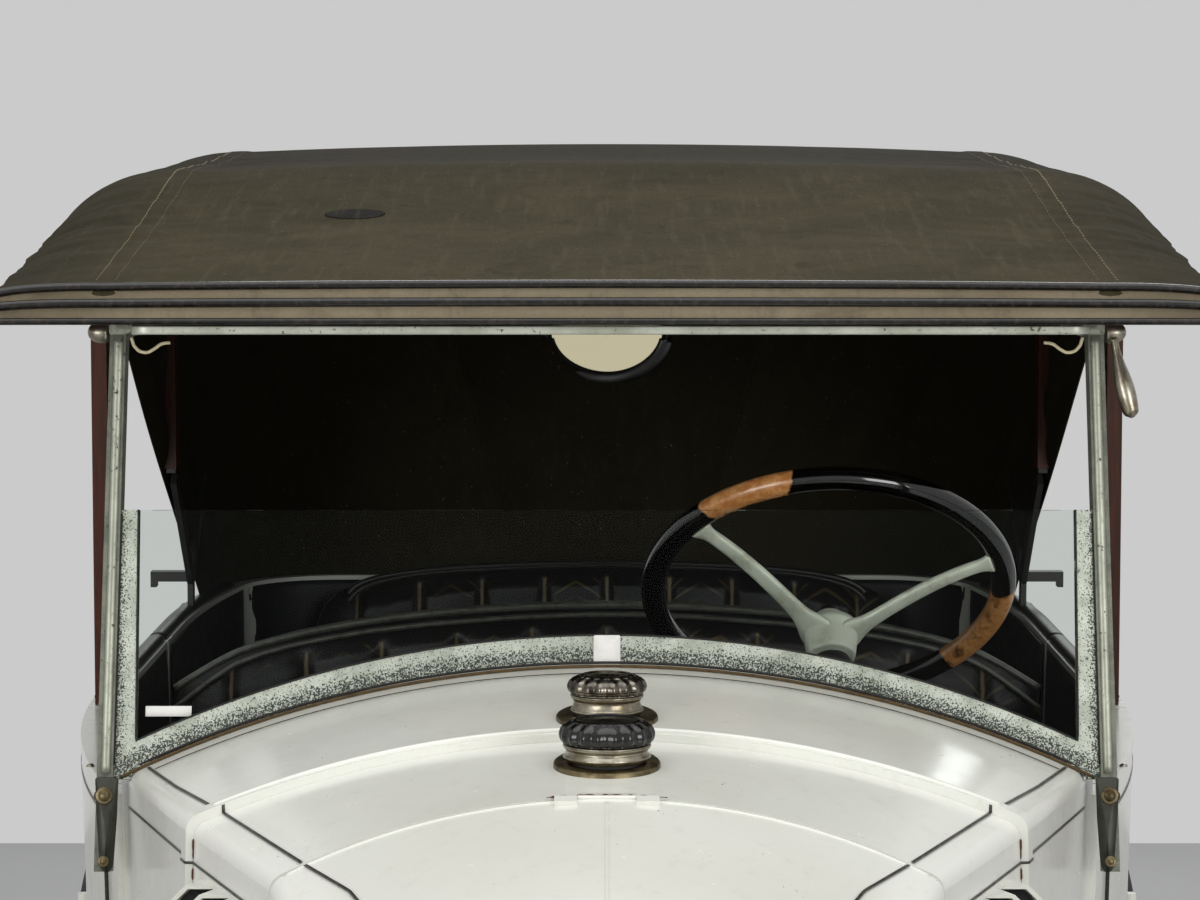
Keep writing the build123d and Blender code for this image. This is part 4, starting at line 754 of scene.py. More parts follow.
def rim_line(part, side_x, side_y, radius, tail_y):
    """A place on a line round the tail; part runs from 0 at the left front to 1 at the right.

    The line follows the given side, and then a quarter circle turns each corner into the straight tail.
    """
    turn = np.linspace(0, np.pi / 2, 30)[1:]
    corner_x = side_x[-1] - radius + radius * np.cos(turn)
    corner_y = tail_y - radius + radius * np.sin(turn)
    left = spread(np.concatenate([side_x, corner_x, np.linspace(corner_x[-1], 0, 30)[1:]]),
                  np.concatenate([side_y, corner_y, np.full(29, tail_y)]))
    line = np.concatenate([left, (left * [-1, 1])[-2::-1]])
    length = run_along(line)
    return spread(*(np.interp(part * length[-1], length, column) for column in line.T))


def body_rim(part, start=1.290, inset=0.008):
    """A place on the line round the body's tail, inset from its outside."""
    side_y = np.linspace(start, BODY_TAIL_Y - TAIL_CORNER, 60)
    return rim_line(part, body_half_at(side_y) - inset, side_y, TAIL_CORNER - inset, BODY_TAIL_Y - inset)


def hood_rim(part):
    """A place on the line round the roof's edge above it, with the same corners."""
    side_y = np.linspace(FIRST_BOW_Y, HOOD_TAIL_Y - TAIL_CORNER, 80)
    side_x = hood_row(side_y)[0] - 0.002 - 0.058 * np.clip((side_y - TAPER_START_Y) / 0.6, 0, 1) ** 2
    return rim_line(part, side_x, side_y, TAIL_CORNER, HOOD_TAIL_Y)


# The free front edge of a quarter, as places along the car and heights
QUARTER_EDGE = np.array([(FIRST_BOW_Y, 1.652), (0.560, 1.622), (0.690, 1.520), (1.290, 1.125)])


def under_roof(x, y):
    """Height just below the roof cloth: the crown's parabola, then the shoulder's fall beyond the seams."""
    half, crown, seam_z, edge_z, _ = hood_row(np.clip(y, HEM_Y, HOOD[-1, 0]))
    inner = np.clip(np.abs(x) / HOOD_SEAM_X, 0, 1)
    outer = np.clip((np.abs(x) - HOOD_SEAM_X) / (half - HOOD_SEAM_X), 0, 1)
    return crown - (crown - seam_z) * inner ** 2 - (seam_z - edge_z) * outer ** 2 - 0.006


def curtain_at(part, fall, lift=0.0):
    """Points on the quarters and rear curtain: straight lines from the roof's edge down to the body's rim.

    The free front edge of each quarter follows QUARTER_EDGE, and its pull fades out over the first third.
    """
    top, low = hood_rim(part), body_rim(part)
    top_z = under_roof(top[..., 0], top[..., 1])
    z = top_z + (CURTAIN_FOOT_Z - top_z) * fall
    x, y = (top[..., k] + (low[..., k] - top[..., k]) * fall for k in (0, 1))
    run = run_along(QUARTER_EDGE)
    edge_y, edge_z = (np.interp(fall * run[-1], run, column) for column in QUARTER_EDGE.T)
    near = np.clip(1 - np.minimum(part, 1 - part) / 0.30, 0, 1) ** 1.6
    start_y, end_y = hood_rim(np.zeros(1))[0, 1], body_rim(np.zeros(1))[0, 1]
    y = y + near * (edge_y - start_y - (end_y - start_y) * fall)
    z = z + near * (edge_z - 1.690 - (CURTAIN_FOOT_Z - 1.690) * fall)
    ripple = 0.0035 * (np.sin(61 * part + 4 * fall) + 0.6 * np.sin(117 * part - 7 * fall + 1))
    hollow = -0.010 * np.clip(np.minimum(part, 1 - part) / 0.15, 0, 1)
    out = spread(x, y - TAPER_START_Y)
    out /= np.maximum(np.linalg.norm(out, axis=-1, keepdims=True), 1e-6)
    shift = (lift + (hollow + ripple) * np.sin(np.pi * fall))[..., None] * out
    return spread(x + shift[..., 0], y + shift[..., 1], z)


def window_curtain(name):
    """The rear curtain's middle panel: rings that grow from its oval window to its edge; and the oval."""
    edge = 0.085
    cos, sin = np.cos(turns(128)), np.sin(turns(128))
    reach = np.maximum(np.abs(cos), np.abs(sin))
    outer = spread(0.5 + edge * cos / reach, 0.5 - 0.5 * sin / reach)
    width = curtain_at(np.array([0.5 - edge]), np.array([0.5]))[0, 0]
    high = float(under_roof(0.0, HOOD_TAIL_Y)) - CURTAIN_FOOT_Z
    middle = 1 - (REAR_WINDOW[2] - CURTAIN_FOOT_Z) / high
    oval = spread(0.5 + edge * REAR_WINDOW[0] / width * cos, middle - REAR_WINDOW[1] / high * sin)
    rings = oval + (outer - oval) * np.linspace(0, 1, 30)[:, None, None]
    return grid_mesh(name, curtain_at(rings[..., 0], rings[..., 1]), wrap_v=True), oval


def build_curtains():
    """Two quarters and the middle panel of the rear curtain, sewn to each other at the window's sides."""
    made = []
    for name, start, end in (("hood_quarter_left", 0.0, 0.418), ("hood_quarter_right", 0.582, 1.0)):
        part, fall = np.meshgrid(np.linspace(start, end, 150), np.linspace(0, 1, 70), indexing="ij")
        made.append(grid_mesh(name, curtain_at(part, fall), flip=True))
    mesh, oval = window_curtain("hood_rear_panel")
    for cloth in (*made, mesh):
        thicken(place_piece(cloth, "canvas", ["hood_fabric"]), CANVAS_SHEET)
    ring = curtain_at(oval[:, 0], oval[:, 1], 0.001)
    middle = ring.mean(axis=0)
    frame_line = middle + (ring - middle) * 1.10
    section = circle(1.0, 16) * [0.0115, 0.0035]
    place_piece(swept("rear_window_frame", frame_line, section[:, ::-1], closed=True), "black")
    pane = middle + (ring - middle) * np.linspace(0, 1, 8)[:, None, None] + [0, 0.001, 0]
    pane = grid_mesh("rear_window_pane", pane, wrap_v=True)
    thicken(place_piece(pane, "celluloid"), 0.0010)


def stitches(name, path, length=0.0080, gap=0.0055, radius=0.0010):
    """A row of stitches along a path: each is a short spindle, thickest at its middle."""
    run = run_along(path)
    starts = np.arange(gap, run[-1] - length, length + gap)
    steps = np.linspace(0, 1, 5)
    where = starts[:, None] + steps * length
    points = spread(*(np.interp(where, run, column) for column in path.T))
    tangent = points[:, -1] - points[:, 0]
    tangent /= np.linalg.norm(tangent, axis=1, keepdims=True)
    side = np.cross(tangent, [[0, 0, 1.0]])
    side /= np.maximum(np.linalg.norm(side, axis=1, keepdims=True), 1e-9)
    up = np.cross(side, tangent)
    thick = radius * np.sin(np.pi * (0.08 + 0.84 * steps)) ** 0.5
    turn = turns(4)[:, None] + 0.4
    ring = np.cos(turn) * side[:, None, None] + np.sin(turn) * up[:, None, None]
    verts = points[:, :, None] + thick[:, None, None] * ring
    count, rings, around = verts.shape[:3]
    a, b = np.meshgrid(np.arange(rings - 1), np.arange(around), indexing="ij")
    a, b, b2 = a * around, b, (b + 1) % around
    quads = spread(a + b, a + b2, a + around + b2, a + around + b).reshape(-1, 4)
    first = np.arange(4)
    quads = np.concatenate([quads, [first[::-1], 4 * rings - 4 + first]])
    faces = (quads + (np.arange(count) * rings * around)[:, None, None]).reshape(-1, 4)
    place_piece(build_mesh(name, verts, faces[:, ::-1]), "thread")


def build_hood_trim():
    """The front hem's three glazed pipings and lighter bands, the twin seams with their painted shadow lines,
    and the small roof mark.
    """
    top = hood_roof_at(np.linspace(-1, 1, 240), np.full(240, HEM_Y))
    bands = [tube("band", hem_line(top, part, 0.0035), radius, 12)
             for part, radius in ((0.04, 0.0042), (0.48, 0.0046), (0.97, 0.0034))]
    place_joined("hem_pipings", bands, "piping")
    strips = []
    for start, end in ((0.08, 0.43), (0.53, 0.93)):
        rows = [hem_line(top, part, 0.0022) for part in np.linspace(start, end, 8)]
        strips.append(grid_mesh("strip", np.array(rows), flip=True))
    place_joined("hem_bands", strips, "hem")
    y = np.linspace(HEM_Y + 0.010, HOOD_TAIL_Y - 0.02, 500)
    per_metre = (SEAM_AT / HOOD_SEAM_X, (1 - SEAM_AT) / 0.13)
    for side, name in ((1, "left"), (-1, "right")):
        for offset, row in ((0.0085, "outer"), (-0.0085, "inner")):
            across = side * (SEAM_AT + offset * per_metre[offset > 0])
            stitches(f"seam_stitches_{name}_{row}", hood_roof_at(np.full(500, across), y, 0.0022))
        # Painted shadow: a thin dark line along the outer edge of each seam's ridge
        across = side * (SEAM_AT + 0.0135 * per_metre[1])
        lap = tube(f"seam_shadow_{name}", hood_roof_at(np.full(500, across), y, 0.0004), 0.0012, 8)
        place_piece(lap, "lining")
    grow = np.linspace(0, 1, 5)[:, None]
    across = (-0.2736 + 0.033 * grow * np.cos(turns(40))) * per_metre[0]
    patch = hood_roof_at(across, 0.046 + 0.027 * grow * np.sin(turns(40)), 0.0026)
    thicken(place_piece(grid_mesh("roof_patch", patch, wrap_v=True), "lining"), 0.0008)


STRIPE_X = np.array([(-1.598, 0.083), (-1.520, 0.106), (-1.320, 0.128), (-1.020, 0.160), (-0.868, 0.216),
                     (-0.783, 0.262), (-0.592, 0.351), (-0.431, 0.415), (-0.310, 0.4585)])
RIB_Y = (-0.590, -0.572)
RIB_RISE = 0.007


def over_rib(y):
    """Extra height of a painted line where it climbs the raised rib at the scuttle's front edge."""
    rise = np.clip((y - (RIB_Y[0] - 0.0008)) / 0.0008, 0, 1) * np.clip((RIB_Y[1] + 0.0008 - y) / 0.0008, 0, 1)
    return RIB_RISE * rise


def stripe_places(y_range):
    """Places along a painted line, with those where it climbs the rib."""
    climbs = [y for y in (*RIB_Y, RIB_Y[0] - 0.0008, RIB_Y[1] + 0.0008) if y_range[0] < y < y_range[1]]
    return np.sort(np.concatenate([np.linspace(*y_range, 90), climbs]))


def painted_line(name, left, body, flip=False):
    """A painted line from its two edges on the car's left, with its mirror image."""
    meshes = [grid_mesh("left", left, flip=flip), grid_mesh("right", mirrored(left), flip=not flip)]
    return thicken(place_joined(name, meshes, "stripe", body=body), 0.0006)


def top_stripe(name, y_range, body, width=0.0026):
    """A painted line on the arched top: the strip between two curves a line's width apart."""
    y = stripe_places(y_range)
    x = np.interp(y, STRIPE_X[:, 0], STRIPE_X[:, 1])
    edges = [front_top(x + offset, y, 0.0011 + over_rib(y)) for offset in (-width / 2, width / 2)]
    painted_line(name, np.stack(edges, axis=1), body)


def side_stripe(name, y_range, body, width=0.0025, drop=0.034):
    """A painted line on the leaning sides, a fixed drop below the shoulder."""
    y = stripe_places(y_range)
    z = front_size(y)[2] - drop
    edges = [front_side(z + offset, y, 0.0011 + over_rib(y)) for offset in (width / 2, -width / 2)]
    painted_line(name, np.stack(edges, axis=1), body, flip=True)


def build_stripes():
    """The black coach lines: along the shoulders and sides, and across the scuttle below the windscreen."""
    top_stripe("coach_line_scuttle", (-0.779, -0.315), "car")
    top_stripe("coach_line_bonnet", (-1.598, -0.787), "bonnet")
    side_stripe("coach_line_scuttle_side", (-0.779, -0.300), "car")
    side_stripe("coach_line_bonnet_side", (-1.560, -0.787), "bonnet")
    x = np.linspace(-0.448, 0.448, 160)
    edges = [front_top(x, np.full(160, -0.333 + offset), 0.0011) for offset in (0.0008, -0.0008)]
    cross = np.stack(edges, axis=1)
    thicken(place_piece(grid_mesh("coach_line_cross", cross), "stripe"), 0.0006)


def dome(name, centre, axis, radius, height, count=24):
    """A domed bolt head or knob: a quarter ellipse turned about its axis, closed at its foot."""
    t = np.linspace(0, np.pi / 2, 9)
    profile = np.concatenate([[(0, 0)], [(0, radius)], spread(height * np.sin(t), radius * np.cos(t))[1:]])
    return lathe(name, profile, centre, axis, count)


def plate(name, outline, origin, across, up, thickness, rounding=0.0):
    """A flat plate from a closed outline of (across, up) points, standing off its plane by its thickness."""
    outline = np.asarray(outline, float)
    if rounding:
        closed = np.concatenate([outline[-1:], outline, outline[:1]])
        outline = round_profile(closed, 5, rounding)[1:-1]
    across, up = (np.asarray(v, float) / np.linalg.norm(v) for v in (across, up))
    out = np.cross(across, up)
    flat = np.asarray(origin, float) + outline[:, :1] * across + outline[:, 1:] * up
    middle = flat.mean(axis=0)
    bevel = min(thickness * 0.3, 0.0008)
    away = np.maximum(np.linalg.norm(flat - middle, axis=1, keepdims=True), 1e-6)
    inner = middle + (flat - middle) * (1 - bevel / away)
    rings = np.stack([np.broadcast_to(middle, flat.shape), flat, flat + out * (thickness - bevel),
                      inner + out * thickness, np.broadcast_to(middle + out * thickness, flat.shape)])
    return grid_mesh(name, rings, wrap_v=True, flip=True)


def screen_point(x, z, forward=0.0):
    """A point on the raked windscreen plane's front face, moved forward along its normal."""
    y = SCREEN_Y + (z - SCREEN_Z) * math.tan(SCREEN_RAKE)
    front = 0.026 + forward
    return spread(x, y - front * math.cos(SCREEN_RAKE), z + front * math.sin(SCREEN_RAKE))


def pane_edge(count=120):
    """The lower pane's outline: down one side, along the arched foot and up the other side."""
    radius = arc_radius(PANE_HALF, PANE_RISE)
    x = np.linspace(-PANE_HALF, PANE_HALF, count)
    arch = PANE_MID_Z - radius + np.sqrt(radius ** 2 - x ** 2)
    side_z = np.linspace(PANE_MID_Z - PANE_RISE, PANE_TOP_Z, 40)
    return np.concatenate([spread(-PANE_HALF, side_z[::-1]), spread(x, arch)[1:-1], spread(PANE_HALF, side_z)])


def post_inner(z):
    """Half the room between the windscreen's posts, which lean in by 8 mm over their height of 448 mm."""
    return 0.4925 - 0.008 * (z - SCREEN_Z) / 0.448


def build_screen_fittings():
    """Foot plates, bolts, seals, knobs, clamp lever, wire hooks, rails, blank labels and painted shadow lines of
    the windscreen.
    """
    up = np.array([0, math.sin(SCREEN_RAKE), math.cos(SCREEN_RAKE)])
    plates, bolts, knobs = [], [], []
    outline = [(-0.0115, 0.0), (0.0115, 0.0), (0.0095, -0.040), (0.0055, -0.088), (0.0020, -0.094),
               (-0.0035, -0.094), (-0.0075, -0.088), (-0.0105, -0.040)]
    knob = round_profile([(0, 0), (0, 0.0085), (0.0020, 0.0110), (0.0080, 0.0112), (0.0145, 0.0100),
                          (0.0195, 0.0066), (0.0215, 0.0030), (0.0218, 0)], 6, 0.004)
    for side in (1, -1):
        base = screen_point(0.4985 * side, np.array(1.152), 0.0005)
        shape = [(side * a, b) for a, b in outline][::side]
        plates.append(plate("foot", shape, base, (1, 0, 0), up, 0.004, 0.003))
        for drop, radius in ((0.018, 0.0062), (0.083, 0.0040)):
            centre = base - up * drop + np.array([side * 0.002, -0.004, 0.0006])
            bolts.append(dome("bolt", centre, (0, -1, 0.17), radius, radius * 0.6))
            washer = round_profile([(0, 0), (0, radius * 1.45), (0.0012, radius * 1.4), (0.0014, 0)], 4, 0.0006)
            bolts.append(lathe("washer", washer, centre, (0, -1, 0.17), 24))
        beside = base - up * 0.02 + np.array([side * 0.0115, 0.010, 0])
        bolts.append(dome("side_bolt", beside, (side, 0, 0), 0.0045, 0.003))
        knob_at = screen_point(side * 0.5028, np.array(1.593), -0.006)
        knobs.append(lathe("knob", knob, knob_at, (side, 0, 0), 40))
    place_joined("screen_foot_plates", plates, "bronze")
    place_joined("screen_foot_bolts", bolts, "brass")
    place_joined("screen_knobs", knobs, "nickel")
    t = np.linspace(0, 1, 60)
    arm = screen_point(0.5115 + 0.0175 * t ** 1.2, 1.586 - 0.079 * t, 0.000)
    thick = 0.0040 + 0.0058 * np.clip(np.sin(np.pi * (t - 0.12) * 0.88), 0, 1) ** 1.6 - 0.0012 * (t > 0.97)
    thick[-4:] *= (0.93, 0.8, 0.6, 0.3)
    place_piece(tube("clamp_lever", arm, thick, 24), "nickel")
    hooks = []
    s = np.linspace(0, 1, 60)
    for side in (1, -1):
        across = np.interp(s, np.linspace(0, 1, 7), (0.4760, 0.4735, 0.4680, 0.4600, 0.4530, 0.4460, 0.4370))
        height = np.interp(s, np.linspace(0, 1, 7), (1.5940, 1.5850, 1.5790, 1.5775, 1.5815, 1.5870, 1.5880))
        even = np.convolve(np.pad(height, 4, "edge"), np.ones(9) / 9, "valid")
        hooks.append(tube("hook", spread(side * across, -0.262, even), 0.0017, 10))
    place_joined("wire_hooks", hooks, "wire")
    brackets = []
    for side in (1, -1):
        shape = [(0.0085, 0.0085), (-0.0145, 0.0085), (-0.0145, -0.0070), (-0.0050, -0.0095), (0.0070, -0.0095),
                 (0.0085, -0.0070)]
        shape = [(side * a, b) for a, b in shape][::side]
        bracket_at = screen_point(side * 0.4935, np.array(1.5985), -0.028)
        brackets.append(plate("bracket", shape, bracket_at, (1, 0, 0), up, 0.033, 0.003))
    place_joined("header_brackets", brackets, "rod")
    bars = []
    for side in (1, -1):
        z = np.linspace(1.156, 1.588, 60)
        inner = post_inner(z)
        path = screen_point(side * (inner + 0.0075 + 0 * z), z, 0.0004)
        bars.append(swept("bar", path, circle(1.0, 16) * [0.0046, 0.0030]))
    place_joined("screen_post_bars", bars, "rod")
    x = np.linspace(-0.466, 0.472, 60)
    rail = spread(x, -0.330, 1.604)
    corners = [(-0.002, -0.004), (0.002, -0.004), (0.002, 0.004), (-0.002, 0.004), (-0.002, -0.004)]
    profile = round_profile(corners, 4, 0.001)[:-1]
    place_piece(swept("header_rail", rail, profile), "zinc")
    edge = pane_edge()
    bead = screen_point(edge[:, 0], edge[:, 1], -0.0045)
    place_piece(tube("glazing_bead", bead, 0.0010, 8), "welt")
    x = np.linspace(-0.486, 0.486, 160)
    seat_line = front_top(x, np.full(160, -0.306), 0.002)
    place_piece(tube("screen_gasket", seat_line, 0.0016, 10), "gasket")
    dark_line = front_top(x, np.full(160, -0.302), 0.0045)
    place_piece(tube("screen_gasket_edge", dark_line, 0.0014, 8), "welt")
    tab = plate("blank_tab", [(-0.0135, 0.0175), (-0.0135, -0.0175), (0.0135, -0.0175), (0.0135, 0.0175)][::-1],
                screen_point(0, np.array(1.2745), -0.0040), (1, 0, 0), up, 0.0012, 0.002)
    label = [(-0.023, 0.0052), (-0.023, -0.0052), (0.023, -0.0052), (0.023, 0.0052)][::-1]
    label_at = screen_point(-0.439, np.array(1.2170), -0.0088)
    sticker = plate("blank_sticker", label, label_at, (1, 0, 0), up + np.array([0.03, 0, 0]), 0.0006)
    place_joined("blank_labels", [tab, sticker], "paper")
    # Painted shadow: thin dark lines along the joints between the posts and the glass channel
    joint_shadows = []
    for side in (1, -1):
        z = np.linspace(1.165, 1.412, 40)
        inner = post_inner(z)
        joint_shadows.append(tube("gap", screen_point(side * inner, z, -0.0035), 0.0012, 6))
    place_joined("screen_joint_shadow_lines", joint_shadows, "welt")
    for side, name in ((1, "left"), (-1, "right")):
        z = np.linspace(0.700, 1.118, 60)
        lean = 0.012 * (BODY_TOP - z) / (BODY_TOP - BODY_FOOT)
        edge = float(body_half_at(np.array(-0.2035)))
        rise = spread(edge - lean + 0.0010, -0.2035, z)
        y = np.array([-0.2035, -0.196, -0.165, -0.120, -0.060])
        over = spread(body_half_at(y) - (0.0015, 0.0060, 0.0100, 0.0125, 0.0140), y, 1.1335)
        path = round_profile(np.concatenate([rise, over]), 8, 0.012) * [side, 1, 1]
        welt = tube(f"door_welt_{name}", path, 0.0028, 10)
        place_piece(welt, "welt", body=f"door_front_{name}")
        y = np.array(-0.085)
        at = np.array([side * (float(body_half_at(y)) - 0.0150), y, BODY_TOP])
        t = turns(32)
        oval = spread(0.0065 * np.cos(t), 0.0110 * np.sin(t))
        socket = plate("socket", oval, at, (1, 0, 0), (0, 1, 0), 0.0012)
        place_joined(f"door_socket_{name}", [socket], "welt", body=f"door_front_{name}")
        stud = dome(f"door_stud_{name}", at + [side * 0.0125, -0.012, 0], (0, 0, 1), 0.0045, 0.0030)
        place_piece(stud, "nickel", body=f"door_front_{name}")


def flange_on_body(name, y0, inner, outer, thickness):
    """A round flange that follows the arched top: rings from neck to edge, with a rounded lip."""
    t = turns(72)
    lip = np.linspace(0, np.pi / 2, 6)
    radii = np.concatenate([[inner], outer - thickness * 0.5 + thickness * 0.5 * np.sin(lip), [outer]])
    lifts = np.concatenate([[thickness], thickness * (0.5 + 0.5 * np.cos(lip)), [-0.004]])
    x = radii[:, None] * np.cos(t)
    y = y0 + radii[:, None] * np.sin(t)
    points = front_top(x, y)
    points[..., 2] += lifts[:, None]
    return grid_mesh(name, points, wrap_v=True)


def fluted(lobes, depth, low, high):
    """A radius wobble that gives a knob vertical flutes between two heights."""
    def wave(turn, profile):
        amount = np.where((profile[:, :1] > low) & (profile[:, :1] < high), depth, 0.0)
        return 1 - amount * (0.5 + 0.5 * np.cos(lobes * turn))[None]
    return wave


def build_filler_caps():
    """The nickelled fuel cap behind the rib and the black radiator cap ahead of it, on flanges and necks."""
    up = (0, 0, 1)
    for name, y0, knob, neck, rise, tall, finish in (
            ("rear", -0.505, 0.0380, 0.0310, 0.020, 0.0195, "worn_cap"),
            ("front", -0.672, 0.0435, 0.0360, 0.0165, 0.0225, "cap_black")):
        base = float(front_top(np.zeros(1), np.full(1, y0))[0, 2])
        flange = flange_on_body("flange", y0, neck - 0.002, 0.0480, 0.0042)
        corners = [(0.004, neck), (0.008, neck + 0.004), (0.0105, neck + 0.0015), (rise - 0.003, neck),
                   (rise, neck + 0.0035), (rise + 0.003, neck + 0.0035), (rise + 0.003, neck - 0.004)]
        neck_profile = round_profile(corners, 5, 0.002)
        neck_mesh = lathe("neck", neck_profile, (0, y0, base), up, 64)
        place_piece(neck_mesh, "nickel", ["filler_caps"])
        neck_mesh.name = f"cap_neck_{name}"
        place_piece(flange, "brass", ["filler_caps"])
        flange.name = f"cap_flange_{name}"
        top = rise + 0.0025
        profile = round_profile([(top, 0.0), (top, knob - 0.006), (top + 0.003, knob - 0.0015),
                                 (top + tall * 0.42, knob), (top + tall * 0.72, knob - 0.0025),
                                 (top + tall - 0.002, knob - 0.010), (top + tall, knob - 0.016),
                                 (top + tall - 0.0012, knob - 0.018), (top + tall - 0.0004, 0.006),
                                 (top + tall, 0)], 6, 0.003)
        knob_mesh = lathe(f"cap_knob_{name}", profile, (0, y0, base), up, 288,
                          fluted(18, 0.060, top + 0.0015, top + tall - 0.0018))
        place_piece(knob_mesh, finish, ["filler_caps"])


def build_bonnet_fittings():
    """Centre hinge strip, rear edge bead, side catches and the handles of the bonnet."""
    y = np.linspace(-1.590, -0.790, 120)
    ridge = front_top(np.zeros(120), y, -0.0036)
    place_piece(tube("bonnet_ridge", ridge, 0.0042, 16), "ivory", body="bonnet")
    x, y = np.meshgrid(np.linspace(-0.270, 0.270, 90), np.linspace(-0.7935, -0.7806, 4), indexing="ij")
    rest = grid_mesh("bonnet_rest_strip", front_top(x, y, -0.0050))
    thicken(place_piece(rest, "ivory"), 0.0012)
    x = np.linspace(-0.362, 0.362, 160)
    bead = front_top(x, np.full(160, -0.5800), RIB_RISE + 0.0002)
    place_piece(tube("rib_bead", bead, 0.0036, 14), "ivory")
    for side, name in ((1, "left"), (-1, "right")):
        z = np.linspace(1.020, 1.150, 130)
        broken = np.clip(np.sin(260 * z) + 0.7 * np.sin(411 * z + 1) + 0.5, 0.12, 1)
        gap = front_side(z, np.full(130, -0.5912), 0.0006) * [side, 1, 1]
        place_piece(tube(f"rib_rust_{name}", gap, 0.0012 * broken, 8), "rust")
    shoulder = float(front_size(np.array([-0.786]))[0][0])
    x = np.linspace(-shoulder + 0.012, shoulder - 0.012, 120)
    bead = front_top(x, np.full(120, -0.7862), -0.0004)
    place_piece(tube("bonnet_edge_bead", bead, 0.0016, 8), "ivory", body="bonnet")
    x = np.linspace(-0.052, 0.052, 60)
    thick = 0.0012 * np.clip(1.3 - np.abs(np.sin(150 * x) + 0.6 * np.sin(411 * x + 1)), 0.25, 1)
    chips = tube("hinge_rust", front_top(x, np.full(60, -0.7805), 0.0022), thick, 8)
    place_piece(chips, "rust")
    grips, springs = [], []
    for side in (1, -1):
        for y0 in (-0.90, -1.32):
            z = np.array([0.636])
            at = front_side(z, np.array([y0]), 0.0)[0] * [side, 1, 1]
            s = np.linspace(0, np.pi, 24)
            loop = at + spread(side * 0.022 * np.sin(s), 0.030 * np.cos(s), np.zeros(24))
            grips.append(tube("grip", loop, 0.0035, 10))
            coil_t = np.linspace(0, 10 * 2 * np.pi, 260)
            foot_at = at + np.array([side * 0.010, 0, -0.020])
            fall = -0.022 * coil_t / coil_t[-1]
            coil = foot_at + spread(0.006 * np.cos(coil_t), 0.006 * np.sin(coil_t), fall)
            springs.append(tube("spring", coil, 0.0011, 6))
    place_joined("bonnet_grips", grips, "bright", body="bonnet")
    place_joined("bonnet_catch_springs", springs, "dark")


VOXEL = 0.006
SIMULATED_FRAMES = 20
FRONT_SEAT_HALF = 0.572
REAR_SEAT_HALF = 0.466


def arch_top(x, half, side_z, crown_z):
    """Height of an arched seat back's top edge: a parabola from the middle to both sides."""
    return crown_z - (crown_z - side_z) * (x / half) ** 2


def pad_form(name, half, section, heights=None, grow=7):
    """A closed pad: a rounded (y, z) section carried across the car, its ends closed by a superellipse.

    half(y) is the pad's half width at each of the section's points; heights arches its upper points.
    """
    u = np.sin(np.linspace(-np.pi / 2, np.pi / 2, 110))
    scale = (1 - np.abs(u) ** grow) ** (1 / grow)
    middle = section.mean(axis=0)
    drawn = middle + (section[None] - middle) * scale[:, None, None]
    x = u[:, None] * half(section[:, 0])[None]
    y, z = drawn[..., 0], drawn[..., 1]
    if heights is not None:
        low, top = section[:, 1].min(), section[:, 1].max()
        share = np.clip((z - low) / (top - low), 0, 1)
        z = z + (heights(x) - top) * share
    return grid_mesh(name, spread(x, y, z), wrap_v=True)


def rounded_section(corners, radius):
    """A closed (y, z) section with round corners."""
    corners = np.asarray(corners, float)
    return round_profile(np.concatenate([corners[-1:], corners, corners[:1]]), 9, radius)[1:-1]


def mesh_points(mesh, key="co"):
    """A mesh's points, or their normals."""
    return read_layer(mesh.vertices, key, 3).reshape(-1, 3).astype(float)


def add_attribute(mesh, name, values):
    """Writes a value for each of a mesh's points under a name that materials read."""
    values = np.broadcast_to(values, len(mesh.vertices)).astype(np.float32)
    mesh.attributes.new(name, "FLOAT", "POINT").data.foreach_set("value", values)


def upholstered(mesh, cap, pressure=4.0):
    """The form remeshed to even cells, then blown up as cloth without gravity, by no more than cap."""
    maker = bpy.data.objects.new("pad_maker", mesh)
    bpy.context.scene.collection.objects.link(maker)
    cells = maker.modifiers.new("cells", "REMESH")
    cells.mode = "VOXEL"
    cells.voxel_size = VOXEL
    cells.use_smooth_shade = True
    shaped = bpy.data.meshes.new_from_object(maker.evaluated_get(bpy.context.evaluated_depsgraph_get()))
    maker.modifiers.remove(cells)
    maker.data = shaped
    start = mesh_points(shaped)
    cloth = maker.modifiers.new("stuffing", "CLOTH")
    cloth.settings.quality = 4
    cloth.settings.use_pressure = True
    cloth.settings.uniform_pressure_force = pressure
    cloth.settings.effector_weights.gravity = 0
    cloth.collision_settings.use_self_collision = False
    cloth.collision_settings.use_collision = False
    cloth.point_cache.frame_start, cloth.point_cache.frame_end = 1, SIMULATED_FRAMES
    for step in range(1, SIMULATED_FRAMES + 1):
        bpy.context.scene.frame_set(step)
    swollen = mesh_points(maker.evaluated_get(bpy.context.evaluated_depsgraph_get()).data)
    maker.modifiers.remove(cloth)
    bpy.context.scene.frame_set(1)
    move = np.clip(swollen - start, (-0.004, -cap, -0.005), (0.004, cap, cap))
    length = np.linalg.norm(move, axis=1, keepdims=True)
    start = start + move * np.minimum(1, cap / np.maximum(length, 1e-9))
    shaped.vertices.foreach_set("co", start.reshape(-1).astype(np.float32))
    shaped.update()
    bpy.data.objects.remove(maker)
    bpy.data.meshes.remove(mesh)
    return shaped


